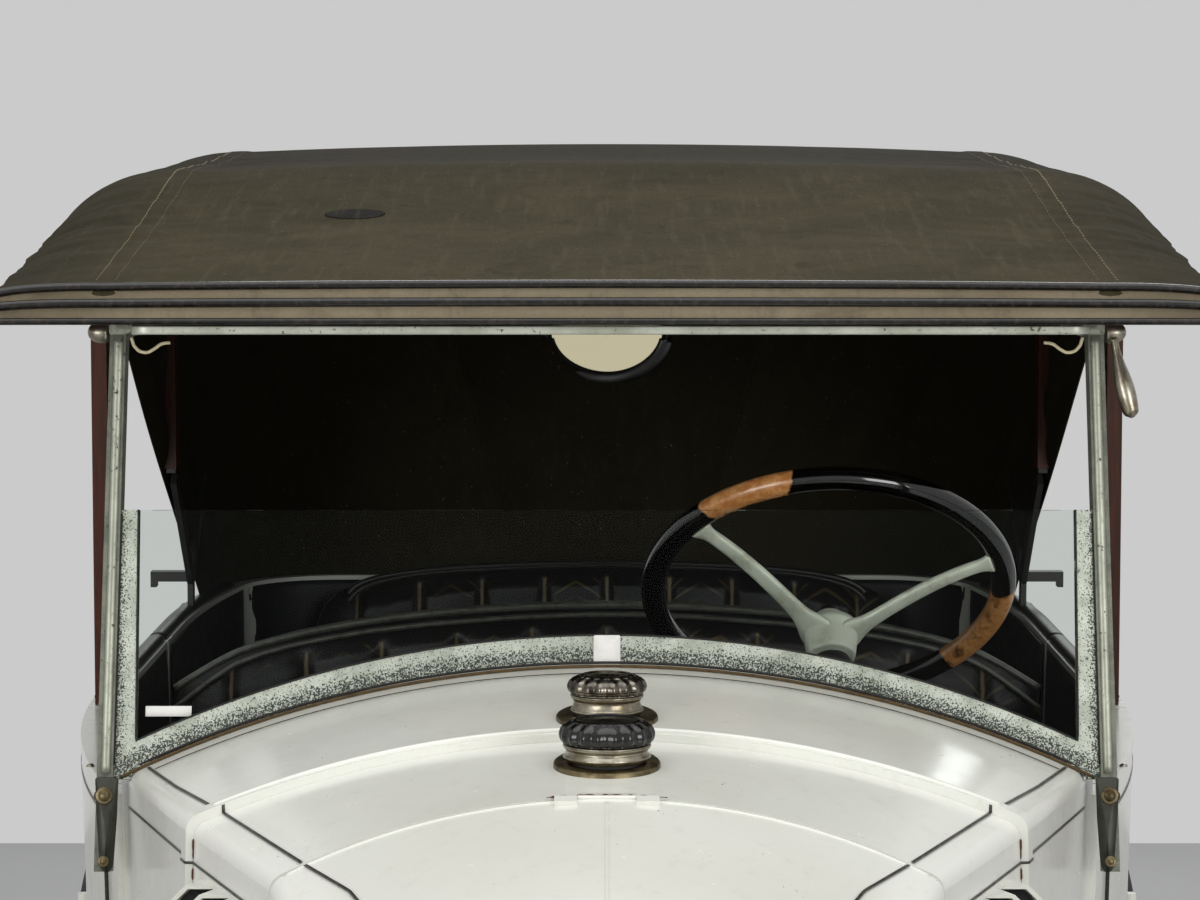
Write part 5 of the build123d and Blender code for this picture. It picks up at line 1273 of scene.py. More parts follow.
def sew_pleats(mesh, face, depth, fade, limits, drop=None):
    """Presses sewn valleys into the side that faces one way, and writes where it is pleated.

    Valleys lie every pleat's width across the car, each the shape of exp(-(distance / 6 mm) ** 2), and the hide
    between them stands proud as a wave. fade(points) is 1 where the pleats are deep and 0 where they end,
    and drop(points) is how far a point lies below the pleats' upper end.
    """
    points = mesh_points(mesh)
    facing = np.clip(mesh_points(mesh, "normal") @ np.asarray(face, float) * 2.2 - 0.6, 0, 1)
    hold = facing * fade(points)
    away = np.abs((points[:, 0] / PLEAT + 20.5) % 1.0 - 0.5) * PLEAT
    valley = np.exp(-(away / 0.0060) ** 2)
    wave = 0.0035 * np.cos(np.pi * (0.5 - away / PLEAT)) - 0.0020
    crease = 0.0012 * np.sin(points[:, 2] * 190 + 3 * np.sin(points[:, 0] * 41)) * np.exp(-(away / 0.016) ** 2)
    moved = points + np.asarray(face, float) * (hold * (wave - depth * valley + crease))[:, None]
    moved = np.clip(moved, *np.asarray(limits, float))
    mesh.vertices.foreach_set("co", moved.reshape(-1).astype(np.float32))
    add_attribute(mesh, "wear", np.clip(hold, 0, 1))
    add_attribute(mesh, "drop", 1.0 if drop is None else drop(points))
    mesh.polygons.foreach_set("use_smooth", np.ones(len(mesh.polygons), dtype=bool))
    mesh.update()


def soft_piece(mesh, name, replaces):
    """Places one upholstered pad with a level of subdivision."""
    mesh.name = name
    if not mesh.uv_layers:
        mesh.uv_layers.new(name="UVMap")
    piece = place_piece(mesh, "leather", [replaces])
    piece.name = name
    smooth = piece.modifiers.new("smooth", "SUBSURF")
    smooth.levels = smooth.render_levels = 1
    return piece


def resting_line(mesh, x, y):
    """Points along x on top of a mesh: the greatest height of its points within 9 mm of each place."""
    points = mesh_points(mesh)
    near = (np.abs(points[None, :, 0] - x[:, None]) < 0.009) & (np.abs(points[None, :, 1] - y) < 0.009)
    z = np.where(near, points[None, :, 2], -1).max(axis=1)
    z = np.where(z > 0, z, np.nan)
    known = ~np.isnan(z)
    z = np.interp(x, x[known], z[known])
    z = np.convolve(np.pad(z, 12, mode="reflect", reflect_type="odd"), np.full(25, 1 / 25), mode="valid")
    return spread(x, y, z)


def seat_back(name, section, half, heights, replaces, limits, pleat_top):
    """An upholstered back: stuffed form with pleats on its front that end below the rolled top."""
    mesh = upholstered(pad_form(name + "_form", half, section, heights), 0.024)

    def drop(points):
        return heights(points[:, 0]) - pleat_top - points[:, 2]

    def fade(points):
        return np.clip(drop(points) / 0.012, 0, 1)
    sew_pleats(mesh, (0, -1, 0), 0.011, fade, limits, drop)
    return soft_piece(mesh, name, replaces)


def seat_cushion(name, section, half, replaces, limits, rear_y):
    """An upholstered cushion: stuffed form with pleats that run from its front roll to its rear edge."""
    mesh = upholstered(pad_form(name + "_form", half, section), 0.022)

    def fade(points):
        return np.clip((rear_y - points[:, 1]) / 0.03, 0, 1)
    sew_pleats(mesh, (0, 0, 1), 0.010, fade, limits)
    return soft_piece(mesh, name, replaces)


def build_seats():
    """Front and rear seats: cushions and backs in pleated hide, with piping along their upper edges."""
    front_section = rounded_section([(0.596, 0.806), (0.614, 1.214), (0.640, 1.214), (0.636, 0.806)], 0.012)

    def front_top_z(x):
        return arch_top(x, FRONT_SEAT_HALF, 1.138, 1.214)
    seat_back("front_seat_back", front_section, lambda y: np.full_like(y, FRONT_SEAT_HALF - 0.016), front_top_z,
              "front_back", [(-0.576, 0.572, 0.790), (0.576, 0.6535, 1.2315)], 0.028)
    cushion_section = rounded_section([(0.140, 0.806), (0.140, 0.884), (0.556, 0.884), (0.556, 0.806)], 0.030)
    seat_cushion("front_seat_cushion", cushion_section,
                 lambda y: np.minimum(FRONT_SEAT_HALF - 0.014, body_half_at(y, 0.034) - 0.016), "front_cushion",
                 [(-0.578, 0.118, 0.791), (0.578, 0.573, 0.912)], 0.55)
    rear_section = rounded_section([(1.492, 0.796), (1.506, 1.158), (1.540, 1.158), (1.536, 0.796)], 0.014)

    def rear_half(y):
        corner = np.sqrt(np.maximum(0.136 ** 2 - np.clip(y + 0.030 - 1.430, 0, 0.136) ** 2, 0))
        return np.minimum(0.378 + corner, 0.500) - 0.012

    def rear_top_z(x):
        return arch_top(x, 0.50, 1.130, 1.160)
    seat_back("rear_seat_back", rear_section, rear_half, rear_top_z, "rear_back",
              [(-0.512, 1.468, 0.780), (0.512, 1.5615, 1.1775)], 0.020)
    rear_cushion = rounded_section([(1.076, 0.796), (1.076, 0.874), (1.454, 0.874), (1.454, 0.796)], 0.030)
    seat_cushion("rear_seat_cushion", rear_cushion, lambda y: np.full_like(y, REAR_SEAT_HALF - 0.014),
                 "rear_cushion",
                 [(-0.468, 1.054, 0.781), (0.468, 1.471, 0.902)], 1.45)
    # The front rolls take the lighter grey, partly wear and partly a painted highlight; the rear rolls are plain
    # black hide
    for name, half, count, rows, finish in (("front", 0.545, 180, (0.618, 0.602), "worn_roll"),
                                            ("rear", 0.465, 160, (1.512, 1.502), "hide")):
        back = bpy.data.objects[f"{name}_seat_back"].data
        x = np.linspace(-half, half, count)
        rolls = [tube("roll", resting_line(back, x, y) + [0, 0, radius * 0.2], radius, 12)
                 for y, radius in zip(rows, (0.0050, 0.0034))]
        place_joined(f"{name}_seat_rolls", rolls, finish)


def from_edge(count):
    """1 over the middle of a run of points, falling to 0 over its first and last twentieth."""
    part = np.linspace(0, 1, count)
    return np.clip(np.minimum(part, 1 - part) / 0.05, 0, 1)


def lining_panel(name, y_range, z_range, body, side, puff=0.004):
    """A hide-covered panel on the inside of the body wall, 1.5 mm off it, swelling between its edges.

    It is a grid of height along the wall, offset inwards by the wall's thickness.
    """
    y, z = np.meshgrid(np.linspace(*y_range, 80), np.linspace(*z_range, 40), indexing="ij")
    swell = puff * from_edge(80)[:, None] * from_edge(40)
    mesh = grid_mesh(name, body_skin(y, z, -WALL - 0.0015 - swell, side), flip=side < 0)
    add_attribute(mesh, "wear", 0.0)
    return thicken(place_piece(mesh, "leather", body=body), 0.0012, 1.0)


def build_linings():
    """Leather-cloth linings on the doors and the fixed walls between and behind them."""
    for side, name in ((1, "left"), (-1, "right")):
        lining_panel(f"door_lining_front_{name}", (-0.190, 0.278), (0.712, 1.122), f"door_front_{name}", side)
        lining_panel(f"door_lining_rear_{name}", (0.368, 0.828), (0.712, 1.122), f"door_rear_{name}", side)
        lining_panel(f"pillar_lining_{name}", (0.300, 0.344), (0.620, 1.124), "car", side)
        rolls = (("rear", 0.358, 0.848, f"door_rear_{name}"), ("tail", 0.862, BODY_TAIL_Y - TAIL_CORNER, "car"))
        for part, start, end, body in rolls:
            y = np.linspace(start, end, 60)
            path = spread(side * (body_half_at(y) - 0.0135), y, BODY_TOP + 0.003)
            roll = swept(f"edge_roll_{part}_{name}", path, circle(1.0, 20) * [0.0115, 0.0065])
            place_piece(roll, "hide", body=body)


def build_tail_lining():
    """One lining round the tail, 4 mm inside the wall, from door to door behind the rear seat."""
    part = np.linspace(0, 1, 220)
    low, high = (body_rim(part, 0.860, WALL + off) for off in (0.0110, 0.0045))
    share = np.linspace(0, 1, 30)[:, None]
    line = low[:, None] + (high - low)[:, None] * share
    mesh = grid_mesh("tail_lining", spread(line[..., 0], line[..., 1], 0.800 + 0.324 * share[:, 0]))
    add_attribute(mesh, "wear", 0.0)
    thicken(place_piece(mesh, "leather"), 0.0012)


WHEEL_AT = (0.248, 0.140, 1.290)
WHEEL_RAKE = math.radians(46)


def wheel_point(across, ahead, rise=0.0):
    """A point in the steering wheel's plane: across the car, up the wheel's slope, and off its face."""
    y = WHEEL_AT[1] - ahead * math.sin(WHEEL_RAKE) + rise * math.cos(WHEEL_RAKE)
    z = WHEEL_AT[2] + ahead * math.cos(WHEEL_RAKE) + rise * math.sin(WHEEL_RAKE)
    return spread(WHEEL_AT[0] + across, y, z)


def build_steering_wheel():
    """The steering wheel: worn black rim, three dished aluminium spokes, hub with its nut."""
    turn = turns(200)
    around = turns(24)
    bulge = 0.0138 + 0.0004 * np.cos(around)
    radius = 0.196 + bulge * np.cos(around)
    across, along = (radius * part(turn)[:, None] for part in (np.cos, np.sin))
    rim = wheel_point(across, along, bulge * np.sin(around) * 0.95)
    mesh = grid_mesh("steering_rim", rim, wrap_u=True, wrap_v=True, flip=True)
    degrees = np.degrees(turn)
    worn = np.zeros(len(turn))
    for middle, reach in ((119, 16), (339, 23)):
        away = np.abs((degrees - middle + 180) % 360 - 180)
        worn = np.maximum(worn, np.clip((reach - away) / 7 + 0.5, 0, 1))
    inward = np.clip(0.85 + 0.3 * np.sin(around + 0.6), 0, 1)
    add_attribute(mesh, "wear", (worn[:, None] * inward).reshape(-1))
    place_piece(mesh, "rim", ["steering_wheel"], body="steering")
    spokes = []
    for angle in (18, 141, 260):
        t = np.linspace(0, 1, 60)[:, None]
        along = math.radians(angle)
        reach = 0.020 + 0.168 * t
        rise = -0.070 + 0.062 * (1 - (1 - t) ** 1.6)
        width = 0.0112 - 0.0034 * t + 0.006 * np.exp(-((t - 1) / 0.05) ** 2) + 0.012 * np.exp(-(t / 0.10) ** 2)
        ring = turns(20)
        side = width * np.sign(np.cos(ring)) * np.abs(np.cos(ring)) ** 0.7
        thick = 0.0052 * np.sign(np.sin(ring)) * np.abs(np.sin(ring)) ** 0.7
        points = wheel_point(reach * math.cos(along) - side * math.sin(along),
                             reach * math.sin(along) + side * math.cos(along), rise + thick)
        spokes.append(grid_mesh("spoke", capped(points), wrap_v=True))
    axis = (0, math.cos(WHEEL_RAKE), math.sin(WHEEL_RAKE))
    hub = round_profile([(-0.096, 0), (-0.096, 0.026), (-0.090, 0.0275), (-0.070, 0.0300), (-0.060, 0.0335),
                         (-0.052, 0.0300), (-0.048, 0.019), (-0.046, 0.017), (-0.040, 0.017), (-0.038, 0.013),
                         (-0.038, 0)], 6, 0.003)
    spokes.append(lathe("hub", hub, WHEEL_AT, axis, 64))
    nut = round_profile([(-0.0385, 0), (-0.0385, 0.0120), (-0.0300, 0.0120), (-0.0300, 0)], 3, 0.001)
    for mesh, finish in ((join_meshes("steering_spokes", spokes), "alloy"),
                         (lathe("steering_nut", nut, WHEEL_AT, axis, 6), "dark")):
        place_piece(mesh, finish, ["steering_wheel"], "steering")
    sleeve = round_profile([(-0.345, 0.0212), (-0.345, 0.0245), (-0.108, 0.0245), (-0.104, 0.0225),
                            (-0.1035, 0.0208)], 5, 0.002)
    place_piece(lathe("column_sleeve", sleeve, WHEEL_AT, axis, 40), "chassis")


WHEELS = (("front_left", 1, -1.450), ("front_right", -1, -1.450),
          ("rear_left", 1, 1.300), ("rear_right", -1, 1.300))
SPARE_AT = (0.0, 1.794, 0.700)
GROOVE = 0.0040
PITCHES = 76


def tyre_mesh(name, centre, axis):
    """A tyre: a rounded section turned about its axle, its tread cut by zigzag grooves and shoulder notches.

    A groove is 4 mm deep where |across - line - 2.5 mm * triangle(turn)| < 2.2 mm, for lines at the middle
    and 21 mm to each side. Notches, one per pitch, cut the shoulders beyond 33 mm from the middle.
    """
    across = np.linspace(-0.048, 0.048, 61)
    tread = spread(across, 0.365 - 0.0055 * (across / 0.048) ** 2)
    side = round_profile([(0.048, 0.3595), (0.0570, 0.350), (0.0590, 0.326), (0.0568, 0.304), (0.0500, 0.2815),
                          (0.0440, 0.2768), (0.0300, 0.2766)], 7, 0.016)[1:]
    for bead in (0.335, 0.300):
        side[:, 0] += 0.0010 * np.exp(-((side[:, 1] - bead) / 0.002) ** 2)
    section = np.concatenate([tread, side, side[::-1] * [-1, 1]])
    turn = turns(PITCHES * 6)[:, None]
    zigzag = np.abs((turn / (2 * np.pi) * PITCHES) % 1.0 - 0.5) * 4 - 1
    x, radius = section[None, :, 0], section[None, :, 1]
    depth = (np.abs(x) > 0.033) & (zigzag > 0.30)
    for line in (-0.021, 0.0, 0.021):
        depth = np.maximum(depth, np.clip((0.0030 - np.abs(x - line - 0.0025 * zigzag)) / 0.0012, 0, 1))
    radius = radius - GROOVE * depth * (radius > 0.345)
    axis = np.asarray(axis, float)
    first = np.array([0, 0, 1.0])
    second = np.cross(axis, first)
    ring = np.cos(turn)[..., None] * first + np.sin(turn)[..., None] * second
    points = np.asarray(centre, float) + x[..., None] * axis + radius[..., None] * ring
    return grid_mesh(name, points, wrap_u=True, wrap_v=True)


def wheel_trim(centre, axis, side_vector):
    """Nave cap, its hexagon, and six wheel bolts."""
    centre, axis = np.asarray(centre, float), np.asarray(axis, float)
    cap = round_profile([(0.0440, 0.0464), (0.0440, 0.0480), (0.0470, 0.0485), (0.0600, 0.0425),
                         (0.0668, 0.0285), (0.0690, 0.0180), (0.0690, 0)], 5, 0.003)
    hexagon = round_profile([(0.0688, 0), (0.0688, 0.0150), (0.0730, 0.0145), (0.0735, 0)], 3, 0.001)
    parts = [lathe("cap", cap, centre, axis, 60), lathe("hexagon", hexagon, centre, axis, 6)]
    other = np.cross(axis, side_vector)
    for turn in np.arange(6) * np.pi / 3 + 0.3:
        away = math.cos(turn) * np.asarray(side_vector) + math.sin(turn) * other
        foot = centre + 0.0675 * away + axis * 0.0300
        nut = [(0, 0), (0, 0.0085), (0.0060, 0.0085), (0.0075, 0.0065), (0.0080, 0)]
        parts.append(lathe("nut", nut, foot, axis, 6))
    return parts


def build_wheels():
    """Tyres with their tread, nave caps and wheel bolts, on the four road wheels and the spare."""
    for name, side, y in WHEELS:
        centre = (side * 0.610, y, TYRE_RADIUS)
        tyre = tyre_mesh(f"treaded_tyre_{name}", centre, (side, 0, 0))
        place_piece(tyre, "rubber", [f"tyre_{name}"], body=f"wheel_{name}")
        trim = join_meshes(f"nave_trim_{name}", wheel_trim(centre, (side, 0, 0), (0, 0, 1)))
        place_piece(trim, "bright", body=f"wheel_{name}")
    spare = tyre_mesh("treaded_tyre_spare", SPARE_AT, (0, 1, 0))
    place_piece(spare, "rubber", ["spare_tyre"])
    strap = spread(0.0, 1.8565, np.linspace(0.950, 1.0600, 30))
    place_piece(swept("spare_strap", strap, circle(1.0, 12) * [0.014, 0.0012]), "hide")


def build_lamps():
    """Headlamp rims, reflectors and bulbs, and the tail lamp."""
    rims, bowls, bulbs = [], [], []
    t = turns(72)
    bowl = round_profile([(0.008, 0.0892), (0.020, 0.0845), (0.040, 0.0735), (0.058, 0.0585), (0.074, 0.0380),
                          (0.083, 0.0180), (0.085, 0)], 4, 0.01)
    bulb = round_profile([(0.084, 0), (0.084, 0.010), (0.060, 0.010), (0.055, 0.016), (0.042, 0.018),
                          (0.034, 0.012), (0.032, 0)], 6, 0.004)
    for side in (1, -1):
        centre = np.array([side * 0.405, -1.640, 0.850])
        rim_path = centre + spread(0.0935 * np.cos(t), -0.0005, 0.0935 * np.sin(t))
        rims.append(tube("rim", rim_path, 0.0052, 16, closed=True))
        rims.append(dome("back", centre + [0, 0.1195, 0], (0, 1, 0), 0.012, 0.009))
        bowls.append(lathe("bowl", bowl, centre, (0, 1, 0), 64))
        bulbs.append(lathe("bulb", bulb, centre, (0, 1, 0), 32))
    place_joined("headlamp_rims", rims, "bright")
    place_joined("headlamp_reflectors", bowls, "mirror")
    place_joined("headlamp_bulbs", bulbs, "dial")
    body = round_profile([(0, 0), (0, 0.030), (0.040, 0.032), (0.046, 0.030), (0.046, 0.0)], 6, 0.004)
    at = (0.205, 1.770, 0.468)
    place_piece(lathe("tail_lamp", body, at, (0, 1, 0), 40), "black")
    lens = round_profile([(0.0455, 0), (0.0455, 0.026), (0.050, 0.024), (0.054, 0.012), (0.055, 0)], 6, 0.003)
    place_piece(lathe("tail_lamp_lens", lens, at, (0, 1, 0), 40), "red_glass")


def build_body_trim():
    """Door handles, the coach line along the body's sides, running-board ribs and edging, and blank plates."""
    spans = (("front", -0.1985, 0.2885), ("rear", 0.3555, 0.8480))
    for side, name in ((1, "left"), (-1, "right")):
        lines = [(f"door_{part}", low + 0.004, high - 0.002, f"door_{part}_{name}")
                 for part, low, high in spans]
        lines += [("post", 0.3015, 0.3420, "car"), ("tail", 0.8580, 1.425, "car")]
        for part, low, high, body in lines:
            y = np.linspace(low, high, 90)
            pair = np.stack([body_skin(y, 1.098 + dz, 0.0010, side) for dz in (0.00125, -0.00125)], axis=1)
            line = grid_mesh(f"waist_line_{part}_{name}", pair, flip=side > 0)
            thicken(place_piece(line, "stripe", body=body), 0.0006)
        inside = np.array([side * float(body_half_at(-0.110) - 0.0325), -0.110, 1.040])
        outside = body_skin(0.770, 1.062, 0, side)
        for part, foot, out, point in (("front", inside, -side, 1), ("rear", outside, side, -1)):
            parts = [dome("rose", foot, (out, 0, 0), 0.019, 0.006, 32)]
            parts.append(tube("stem", foot + np.linspace(0, 1, 8)[:, None] * [out * 0.036, 0, 0], 0.0062, 16))
            t = np.linspace(0, 1, 40)[:, None]
            reach = out * (0.036 + 0.004 * np.sin(np.pi * t))
            grip = foot + reach * [1, 0, 0] + t * [0, point * 0.092, -0.004]
            thick = 0.0058 + 0.0030 * np.sin(np.pi * t[:, 0]) ** 2
            thick[:3], thick[-3:] = (0.002, 0.0045, 0.0055), (0.0055, 0.0045, 0.002)
            parts.append(tube("grip", grip, thick, 16))
            handle = join_meshes(f"door_handle_{part}_{name}", parts)
            place_piece(handle, "bright", body=f"door_{part}_{name}")
        y = np.linspace(-0.700, 0.550, 30)
        ribs = []
        for x in np.arange(0.606, 0.722, 0.0145):
            path = spread(side * x, y, 0.3722)
            ribs.append(swept("rib", path, circle(1.0, 10) * [0.0044, 0.0022]))
        place_joined(f"board_ribs_{name}", ribs, "mat")
        edge = spread(side * 0.7340, y, 0.3725)
        profile = round_profile(np.array([(-0.0058, -0.002), (0.0058, -0.002), (0.0058, 0.0032),
                                          (-0.0058, 0.0032), (-0.0058, -0.002)]), 4, 0.0012)[:-1]
        place_piece(swept(f"board_edge_{name}", edge, profile), "alloy")
    half, low, high = 0.210, -0.045, 0.045
    outline = [(-half, low), (half, low), (half, high), (-half, high)]
    front = plate("front", outline, (0, -1.7290, 0.556), (1, 0, 0), (0, 0, 1), 0.002, 0.006)
    rear = plate("rear", outline[::-1], (0, 1.7910, 0.452), (1, 0, 0), (0, 0, 1), -0.002, 0.006)
    place_joined("blank_plates", [front, rear], "black")
    hangers = []
    for x in (-0.14, 0.14):
        path = np.array([(x, 1.784, 0.420), (x, 1.784, 0.500), (x, 1.770, 0.516), (x, 1.700, 0.5165)])
        hangers.append(tube("hanger", path, 0.006, 12))
    place_joined("plate_hangers", hangers, "chassis")


def build_underside():
    """The exhaust: down-pipe, long pipe under the floor, silencer and tail pipe."""
    knots = np.array([(-0.168, -0.990, 0.740), (-0.180, -0.990, 0.560), (-0.205, -0.965, 0.470),
                      (-0.210, -0.800, 0.455), (-0.205, 0.150, 0.450)])
    pipes = [tube("front", round_profile(knots, 16, 0.07), 0.0205, 20)]
    pipes.append(tube("tail", np.array([(-0.205, 0.690, 0.450), (-0.205, 1.720, 0.452)]), 0.0185, 20))
    drum = [(0, 0), (0, 0.030), (0.016, 0.052), (0.540, 0.052), (0.556, 0.030), (0.556, 0)]
    drum = round_profile(drum, 6, 0.012)
    pipes.append(lathe("silencer", drum, (-0.205, 0.145, 0.449), (0, 1, 0), 48))
    for y in (0.22, 0.62):
        turn = turns(40)
        ring = spread(-0.205 + 0.0535 * np.cos(turn), y, 0.449 + 0.0535 * np.sin(turn))
        pipes.append(tube("clip", ring, 0.003, 8, closed=True))
    place_joined("exhaust", pipes, "iron")


def build_cabin():
    """Dials and knobs on the dash, three pedals, and the gear and brake levers."""
    bezels, faces, hands = [], [], []
    for x, z, size in ((-0.105, 1.115, 0.036), (0.030, 1.120, 0.048), (0.150, 1.115, 0.036)):
        at = (x, -0.2860, z)
        bezel = np.array([(0, 0.86), (0.010, 0.88), (0.012, 0.95), (0.006, 1.06), (0, 1.08)]) * [1, size]
        bezels.append(lathe("bezel", round_profile(bezel, 5, 0.003), at, (0, 1, 0), 48))
        face = [(0.0045, 0), (0.0045, size * 0.88), (0.0030, size * 0.89)]
        faces.append(lathe("face", face, at, (0, 1, 0), 48))
        for turn in np.radians(np.arange(-135, 136, 30)):
            way = np.array([math.sin(turn), 0, math.cos(turn)])
            tick = np.array(at) + [0, 0.0052, 0] + np.array([0.68, 0.82])[:, None] * size * way
            hands.append(tube("tick", tick, 0.0008, 6))
        hand = np.array([-0.12, 0.62])[:, None] * size * [-0.5, 0, 0.86]
        hands.append(tube("hand", np.array(at) + [0, 0.0062, 0] + hand, 0.0010, 6))
    for x in (-0.20, -0.17, 0.225):
        bezels.append(dome("switch", (x, -0.2860, 1.085), (0, 1, 0), 0.011, 0.016))
    place_joined("dial_bezels", bezels, "nickel")
    place_joined("dial_faces", faces, "dial")
    place_joined("dial_hands", hands, "dark")
    pads, rods = [], []
    for x in (0.165, 0.345, 0.255):
        lift = 0.0 if x != 0.255 else -0.02
        foot = np.array([x, -0.150 + lift, 0.715])
        pads.append(plate("pad", [(-0.026, -0.022), (0.026, -0.022), (0.026, 0.022), (-0.026, 0.022)], foot,
                          (-1, 0, 0), (0, -0.45, 0.9), 0.007, 0.008))
        arm = foot + np.array([(0, -0.004, 0), (0, -0.050, -0.060), (0, -0.060, -0.1085)])
        rods.append(tube("arm", arm, 0.006, 12))
    lever = np.array([(0.020, 0.010, 0.6060), (0.020, 0.030, 0.700), (0.024, 0.075, 0.860)])
    rods.append(tube("gear", round_profile(lever, 8, 0.05), 0.0068, 14))
    rods.append(tube("brake", round_profile(lever + [-0.075, 0.040, 0.0], 8, 0.05), 0.0068, 14))
    boot = round_profile([(0, 0.040), (0.006, 0.038), (0.030, 0.014), (0.032, 0.0)], 6, 0.006)
    rods.append(lathe("boot", boot, (0.020, 0.014, 0.6056), (0, 0, 1), 32))
    place_joined("pedal_pads", pads, "mat")
    place_joined("pedals_and_levers", rods, "dark")
    ball = [(0, 0), (0.002, 0.010), (0.010, 0.0165), (0.020, 0.0165), (0.028, 0.010), (0.030, 0)]
    balls = [lathe("ball", ball, at, (0, 0.3, 1), 28) for at in ((0.024, 0.076, 0.855), (-0.051, 0.116, 0.855))]
    place_joined("lever_knobs", balls, "cap_black")
    mats = []
    for x0, x1 in ((-0.36, -0.04), (0.07, 0.42)):
        grid = np.meshgrid(np.linspace(x0, x1, 40), np.linspace(-0.10, 0.115, 60), indexing="ij")
        ribs = 0.0014 * (np.sin(grid[1] * 2 * np.pi / 0.012) > 0)
        mats.append(grid_mesh("mat", spread(*grid, 0.6095 + ribs)))
    thicken(place_joined("floor_mats", mats, "mat"), 0.0030)


def build_scoop_linings():
    """A black back plate set 4 mm inside each of the cowl's side scoops, painted shade that makes their mouths
    dark.
    """
    rear, front = -0.612, -0.766
    step = (front - rear) / 4
    shades = []
    for index in range(4):
        y = rear + step * (index + 0.5) - 0.0100
        for side in (1, -1):
            z = np.array([0.6945, 0.7045, 1.1035, 1.1135])
            near = front_side(z, np.full(4, y), -0.0060)
            reach = np.array([0.0180, 0.0290, 0.0290, 0.0180])
            far = front_side(z, np.full(4, y), reach)
            shades.append(grid_mesh("shade", np.stack([near, far], axis=1) * [side, 1, 1], flip=side > 0))
    thicken(place_joined("scoop_shades", shades, "shade"), 0.0010)


def look_at(obj, target):
    """Turns an object's -Z axis towards a point, its +Y axis upwards."""
    from mathutils import Vector
    obj.rotation_euler = (Vector(target) - obj.location).to_track_quat("-Z", "Y").to_euler()


def soft_light(name, place, target, size, power):
    """A large square lamp with soft edges."""
    data = bpy.data.lights.new(name, "AREA")
    data.shape = "RECTANGLE"
    data.size, data.size_y = size
    data.energy = power
    lamp = bpy.data.objects.new(name, data)
    bpy.context.scene.collection.objects.link(lamp)
    lamp.location = place
    look_at(lamp, target)


def build_stage(settings):
    """A pale floor, a white surround, four soft lamps and the camera at the photograph's place."""
    x = np.array([-9.0, 9.0])
    y = np.array([-9.0, 5.14])
    mesh = grid_mesh("floor_plane", spread(x[:, None], y[None, :], 0.0))
    floor = bpy.data.objects.new("floor_plane", mesh)
    bpy.context.scene.collection.objects.link(floor)
    mesh.materials.append(plain_finish("pale studio floor", "#c4c4c3", 0.6, "#b8b8b7", 0.2, 0.4))
    world = bpy.data.worlds.new("studio surround")
    bpy.context.scene.world = world
    world.use_nodes = True
    tree = world.node_tree
    tree.nodes.clear()
    rays = [add_node(tree, "LightPath", out=f"Is {kind} Ray") for kind in ("Camera", "Glossy", "Transmission")]
    seen = rays[0].maths("MAXIMUM", rays[1].maths("MAXIMUM", rays[2]))
    ambient = add_node(tree, "Background", "#eef0f2", settings.ambient)
    white = add_node(tree, "Background", "#cbcbcb", 1.0)
    add_node(tree, "OutputWorld", add_node(tree, "MixShader", seen, ambient, white))
    strength = settings.lamps
    for lamp in (("overhead", (0, -1.0, 4.6), (0, 0.2, 1.0), (5.0, 4.0), 130 * strength),
                 ("front_left", (3.2, -5.4, 2.2), (0, -0.2, 1.1), (2.4, 2.2), 150 * strength),
                 ("front_right", (-3.4, -5.2, 2.0), (0, -0.2, 1.1), (2.4, 2.2), 130 * strength),
                 ("behind", (0.5, 4.8, 3.4), (0, 0.5, 1.0), (3.0, 2.0), 60 * strength)):
        soft_light(*lamp)
    data = bpy.data.cameras.new("photo_camera")
    camera = bpy.data.objects.new("photo_camera", data)
    bpy.context.scene.collection.objects.link(camera)
    data.sensor_width = 36.0
    data.lens = settings.lens
    data.shift_x = settings.shift
    data.clip_end = 60
    camera.location = settings.camera_place
    camera.rotation_euler = (math.radians(90) - settings.camera_drop, 0, 0)
    bpy.context.scene.camera = camera
    bpy.context.scene.view_settings.view_transform = "Standard"


class TourerFinishSettings(bpy.types.PropertyGroup):
    """Colours and sizes of the car's finishes."""
    enamel: FloatVectorProperty(name="Body enamel", description="Colour of the ivory coachwork", subtype="COLOR",
                                size=4, default=linear("#e8e8df"), min=0, max=1)
    canvas: FloatVectorProperty(name="Hood canvas", description="Colour of the hood cloth", subtype="COLOR",
                                size=4, default=linear("#35311e"), min=0, max=1)
    hide: FloatVectorProperty(name="Seat hide", description="Colour of the seats", subtype="COLOR",
                              size=4, default=linear("#060706"), min=0, max=1)


class TourerStageSettings(bpy.types.PropertyGroup):
    """Light and camera of the studio."""
    ambient: FloatProperty(name="Surround light", description="Strength of the light from all round",
                           default=0.38, min=0, max=3)
    lamps: FloatProperty(name="Lamps", description="Strength of the soft lamps", default=0.78, min=0, max=5)
    lens: FloatProperty(name="Lens", description="Focal length in millimetres", default=105.0, min=20, max=300)
    shift: FloatProperty(name="Sideways shift", description="Framing shift", default=-0.0058, min=-0.1, max=0.1)
    camera_place: FloatVectorProperty(name="Camera place", description="Where the camera stands",
                                      subtype="TRANSLATION", unit="LENGTH", size=3, default=(0.0, -3.76, 1.78))
    camera_drop: FloatProperty(name="Camera drop", description="How far the camera looks down", subtype="ANGLE",
                               unit="ROTATION", default=math.radians(4.9))


class DressFinishes(bpy.types.Operator):
    """Makes all finishes and gives the CAD nodes theirs"""
    bl_idname = "tourer.finishes"
    bl_label = "Finishes"

    def execute(self, context):
        make_finishes(context.scene.tourer_finish)
        finish_nodes()
        return {"FINISHED"}


class DressHood(bpy.types.Operator):
    """Makes the hood's roof cloth, quarters, rear curtain, hem and seams"""
    bl_idname = "tourer.hood"
    bl_label = "Hood"

    def execute(self, context):
        build_hood_roof()
        build_curtains()
        build_hood_trim()
        return {"FINISHED"}


class DressScreen(bpy.types.Operator):
    """Makes the windscreen's fittings"""
    bl_idname = "tourer.screen"
    bl_label = "Windscreen fittings"

    def execute(self, context):
        build_screen_fittings()
        return {"FINISHED"}


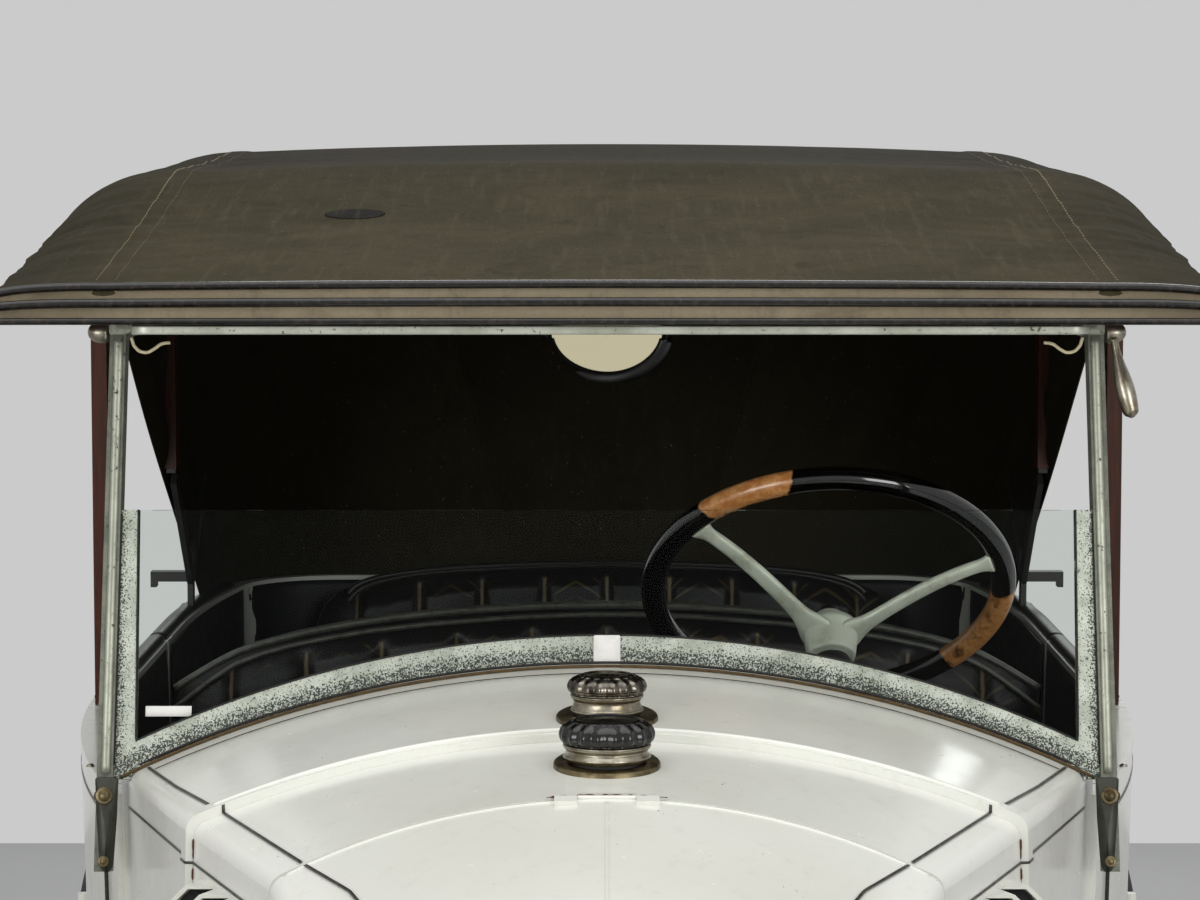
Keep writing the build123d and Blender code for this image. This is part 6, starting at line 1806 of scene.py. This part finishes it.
class DressBonnet(bpy.types.Operator):
    """Makes the coach lines, filler caps and bonnet fittings"""
    bl_idname = "tourer.bonnet"
    bl_label = "Bonnet and caps"

    def execute(self, context):
        build_stripes()
        build_filler_caps()
        build_bonnet_fittings()
        return {"FINISHED"}


class DressSeats(bpy.types.Operator):
    """Makes the pleated seats and the linings of the body's inside"""
    bl_idname = "tourer.seats"
    bl_label = "Seats and linings"

    def execute(self, context):
        build_seats()
        build_linings()
        build_tail_lining()
        return {"FINISHED"}


class DressWheel(bpy.types.Operator):
    """Makes the steering wheel and its column"""
    bl_idname = "tourer.wheel"
    bl_label = "Steering wheel"

    def execute(self, context):
        build_steering_wheel()
        return {"FINISHED"}


class DressCabin(bpy.types.Operator):
    """Makes the dials, pedals, levers and floor mats"""
    bl_idname = "tourer.cabin"
    bl_label = "Dash and pedals"

    def execute(self, context):
        build_cabin()
        return {"FINISHED"}


class DressRunningGear(bpy.types.Operator):
    """Makes the tyres, wheel trim, lamps and exhaust"""
    bl_idname = "tourer.running_gear"
    bl_label = "Wheels, lamps and exhaust"

    def execute(self, context):
        build_wheels()
        build_lamps()
        build_underside()
        return {"FINISHED"}


class DressTrim(bpy.types.Operator):
    """Makes the door handles, waist lines, running-board ribs, plates and scoop linings"""
    bl_idname = "tourer.trim"
    bl_label = "Body trim"

    def execute(self, context):
        build_body_trim()
        build_scoop_linings()
        return {"FINISHED"}


class BuildStage(bpy.types.Operator):
    """Makes the floor, surround, lamps and camera"""
    bl_idname = "tourer.stage"
    bl_label = "Stage"

    def execute(self, context):
        build_stage(context.scene.tourer_stage)
        return {"FINISHED"}


OPERATORS = (DressFinishes, DressHood, DressScreen, DressBonnet, DressSeats, DressWheel, DressCabin,
             DressRunningGear, DressTrim, BuildStage)


class TourerPanel(bpy.types.Panel):
    """Lists the steps that dress the car"""
    bl_idname = "VIEW3D_PT_tourer"
    bl_label = "Touring car"
    bl_space_type = "VIEW_3D"
    bl_region_type = "UI"
    bl_category = "Touring car"

    def draw(self, context):
        for operator in OPERATORS:
            self.layout.operator(operator.bl_idname)
        for group in (context.scene.tourer_finish, context.scene.tourer_stage):
            for key in group.__annotations__:
                self.layout.prop(group, key)


CLASSES = (TourerFinishSettings, TourerStageSettings, *OPERATORS, TourerPanel)


def register():
    """Registers the classes and puts the settings on the scene."""
    for item in CLASSES:
        bpy.utils.register_class(item)
    bpy.types.Scene.tourer_finish = PointerProperty(type=TourerFinishSettings)
    bpy.types.Scene.tourer_stage = PointerProperty(type=TourerStageSettings)


def unregister():
    """Removes the settings and the classes."""
    del bpy.types.Scene.tourer_finish
    del bpy.types.Scene.tourer_stage
    for item in reversed(CLASSES):
        bpy.utils.unregister_class(item)


def main():
    """Runs every step in order."""
    register()
    for operator in OPERATORS:
        group, name = operator.bl_idname.split(".")
        getattr(getattr(bpy.ops, group), name)()


if __name__ == "__main__":
    main()
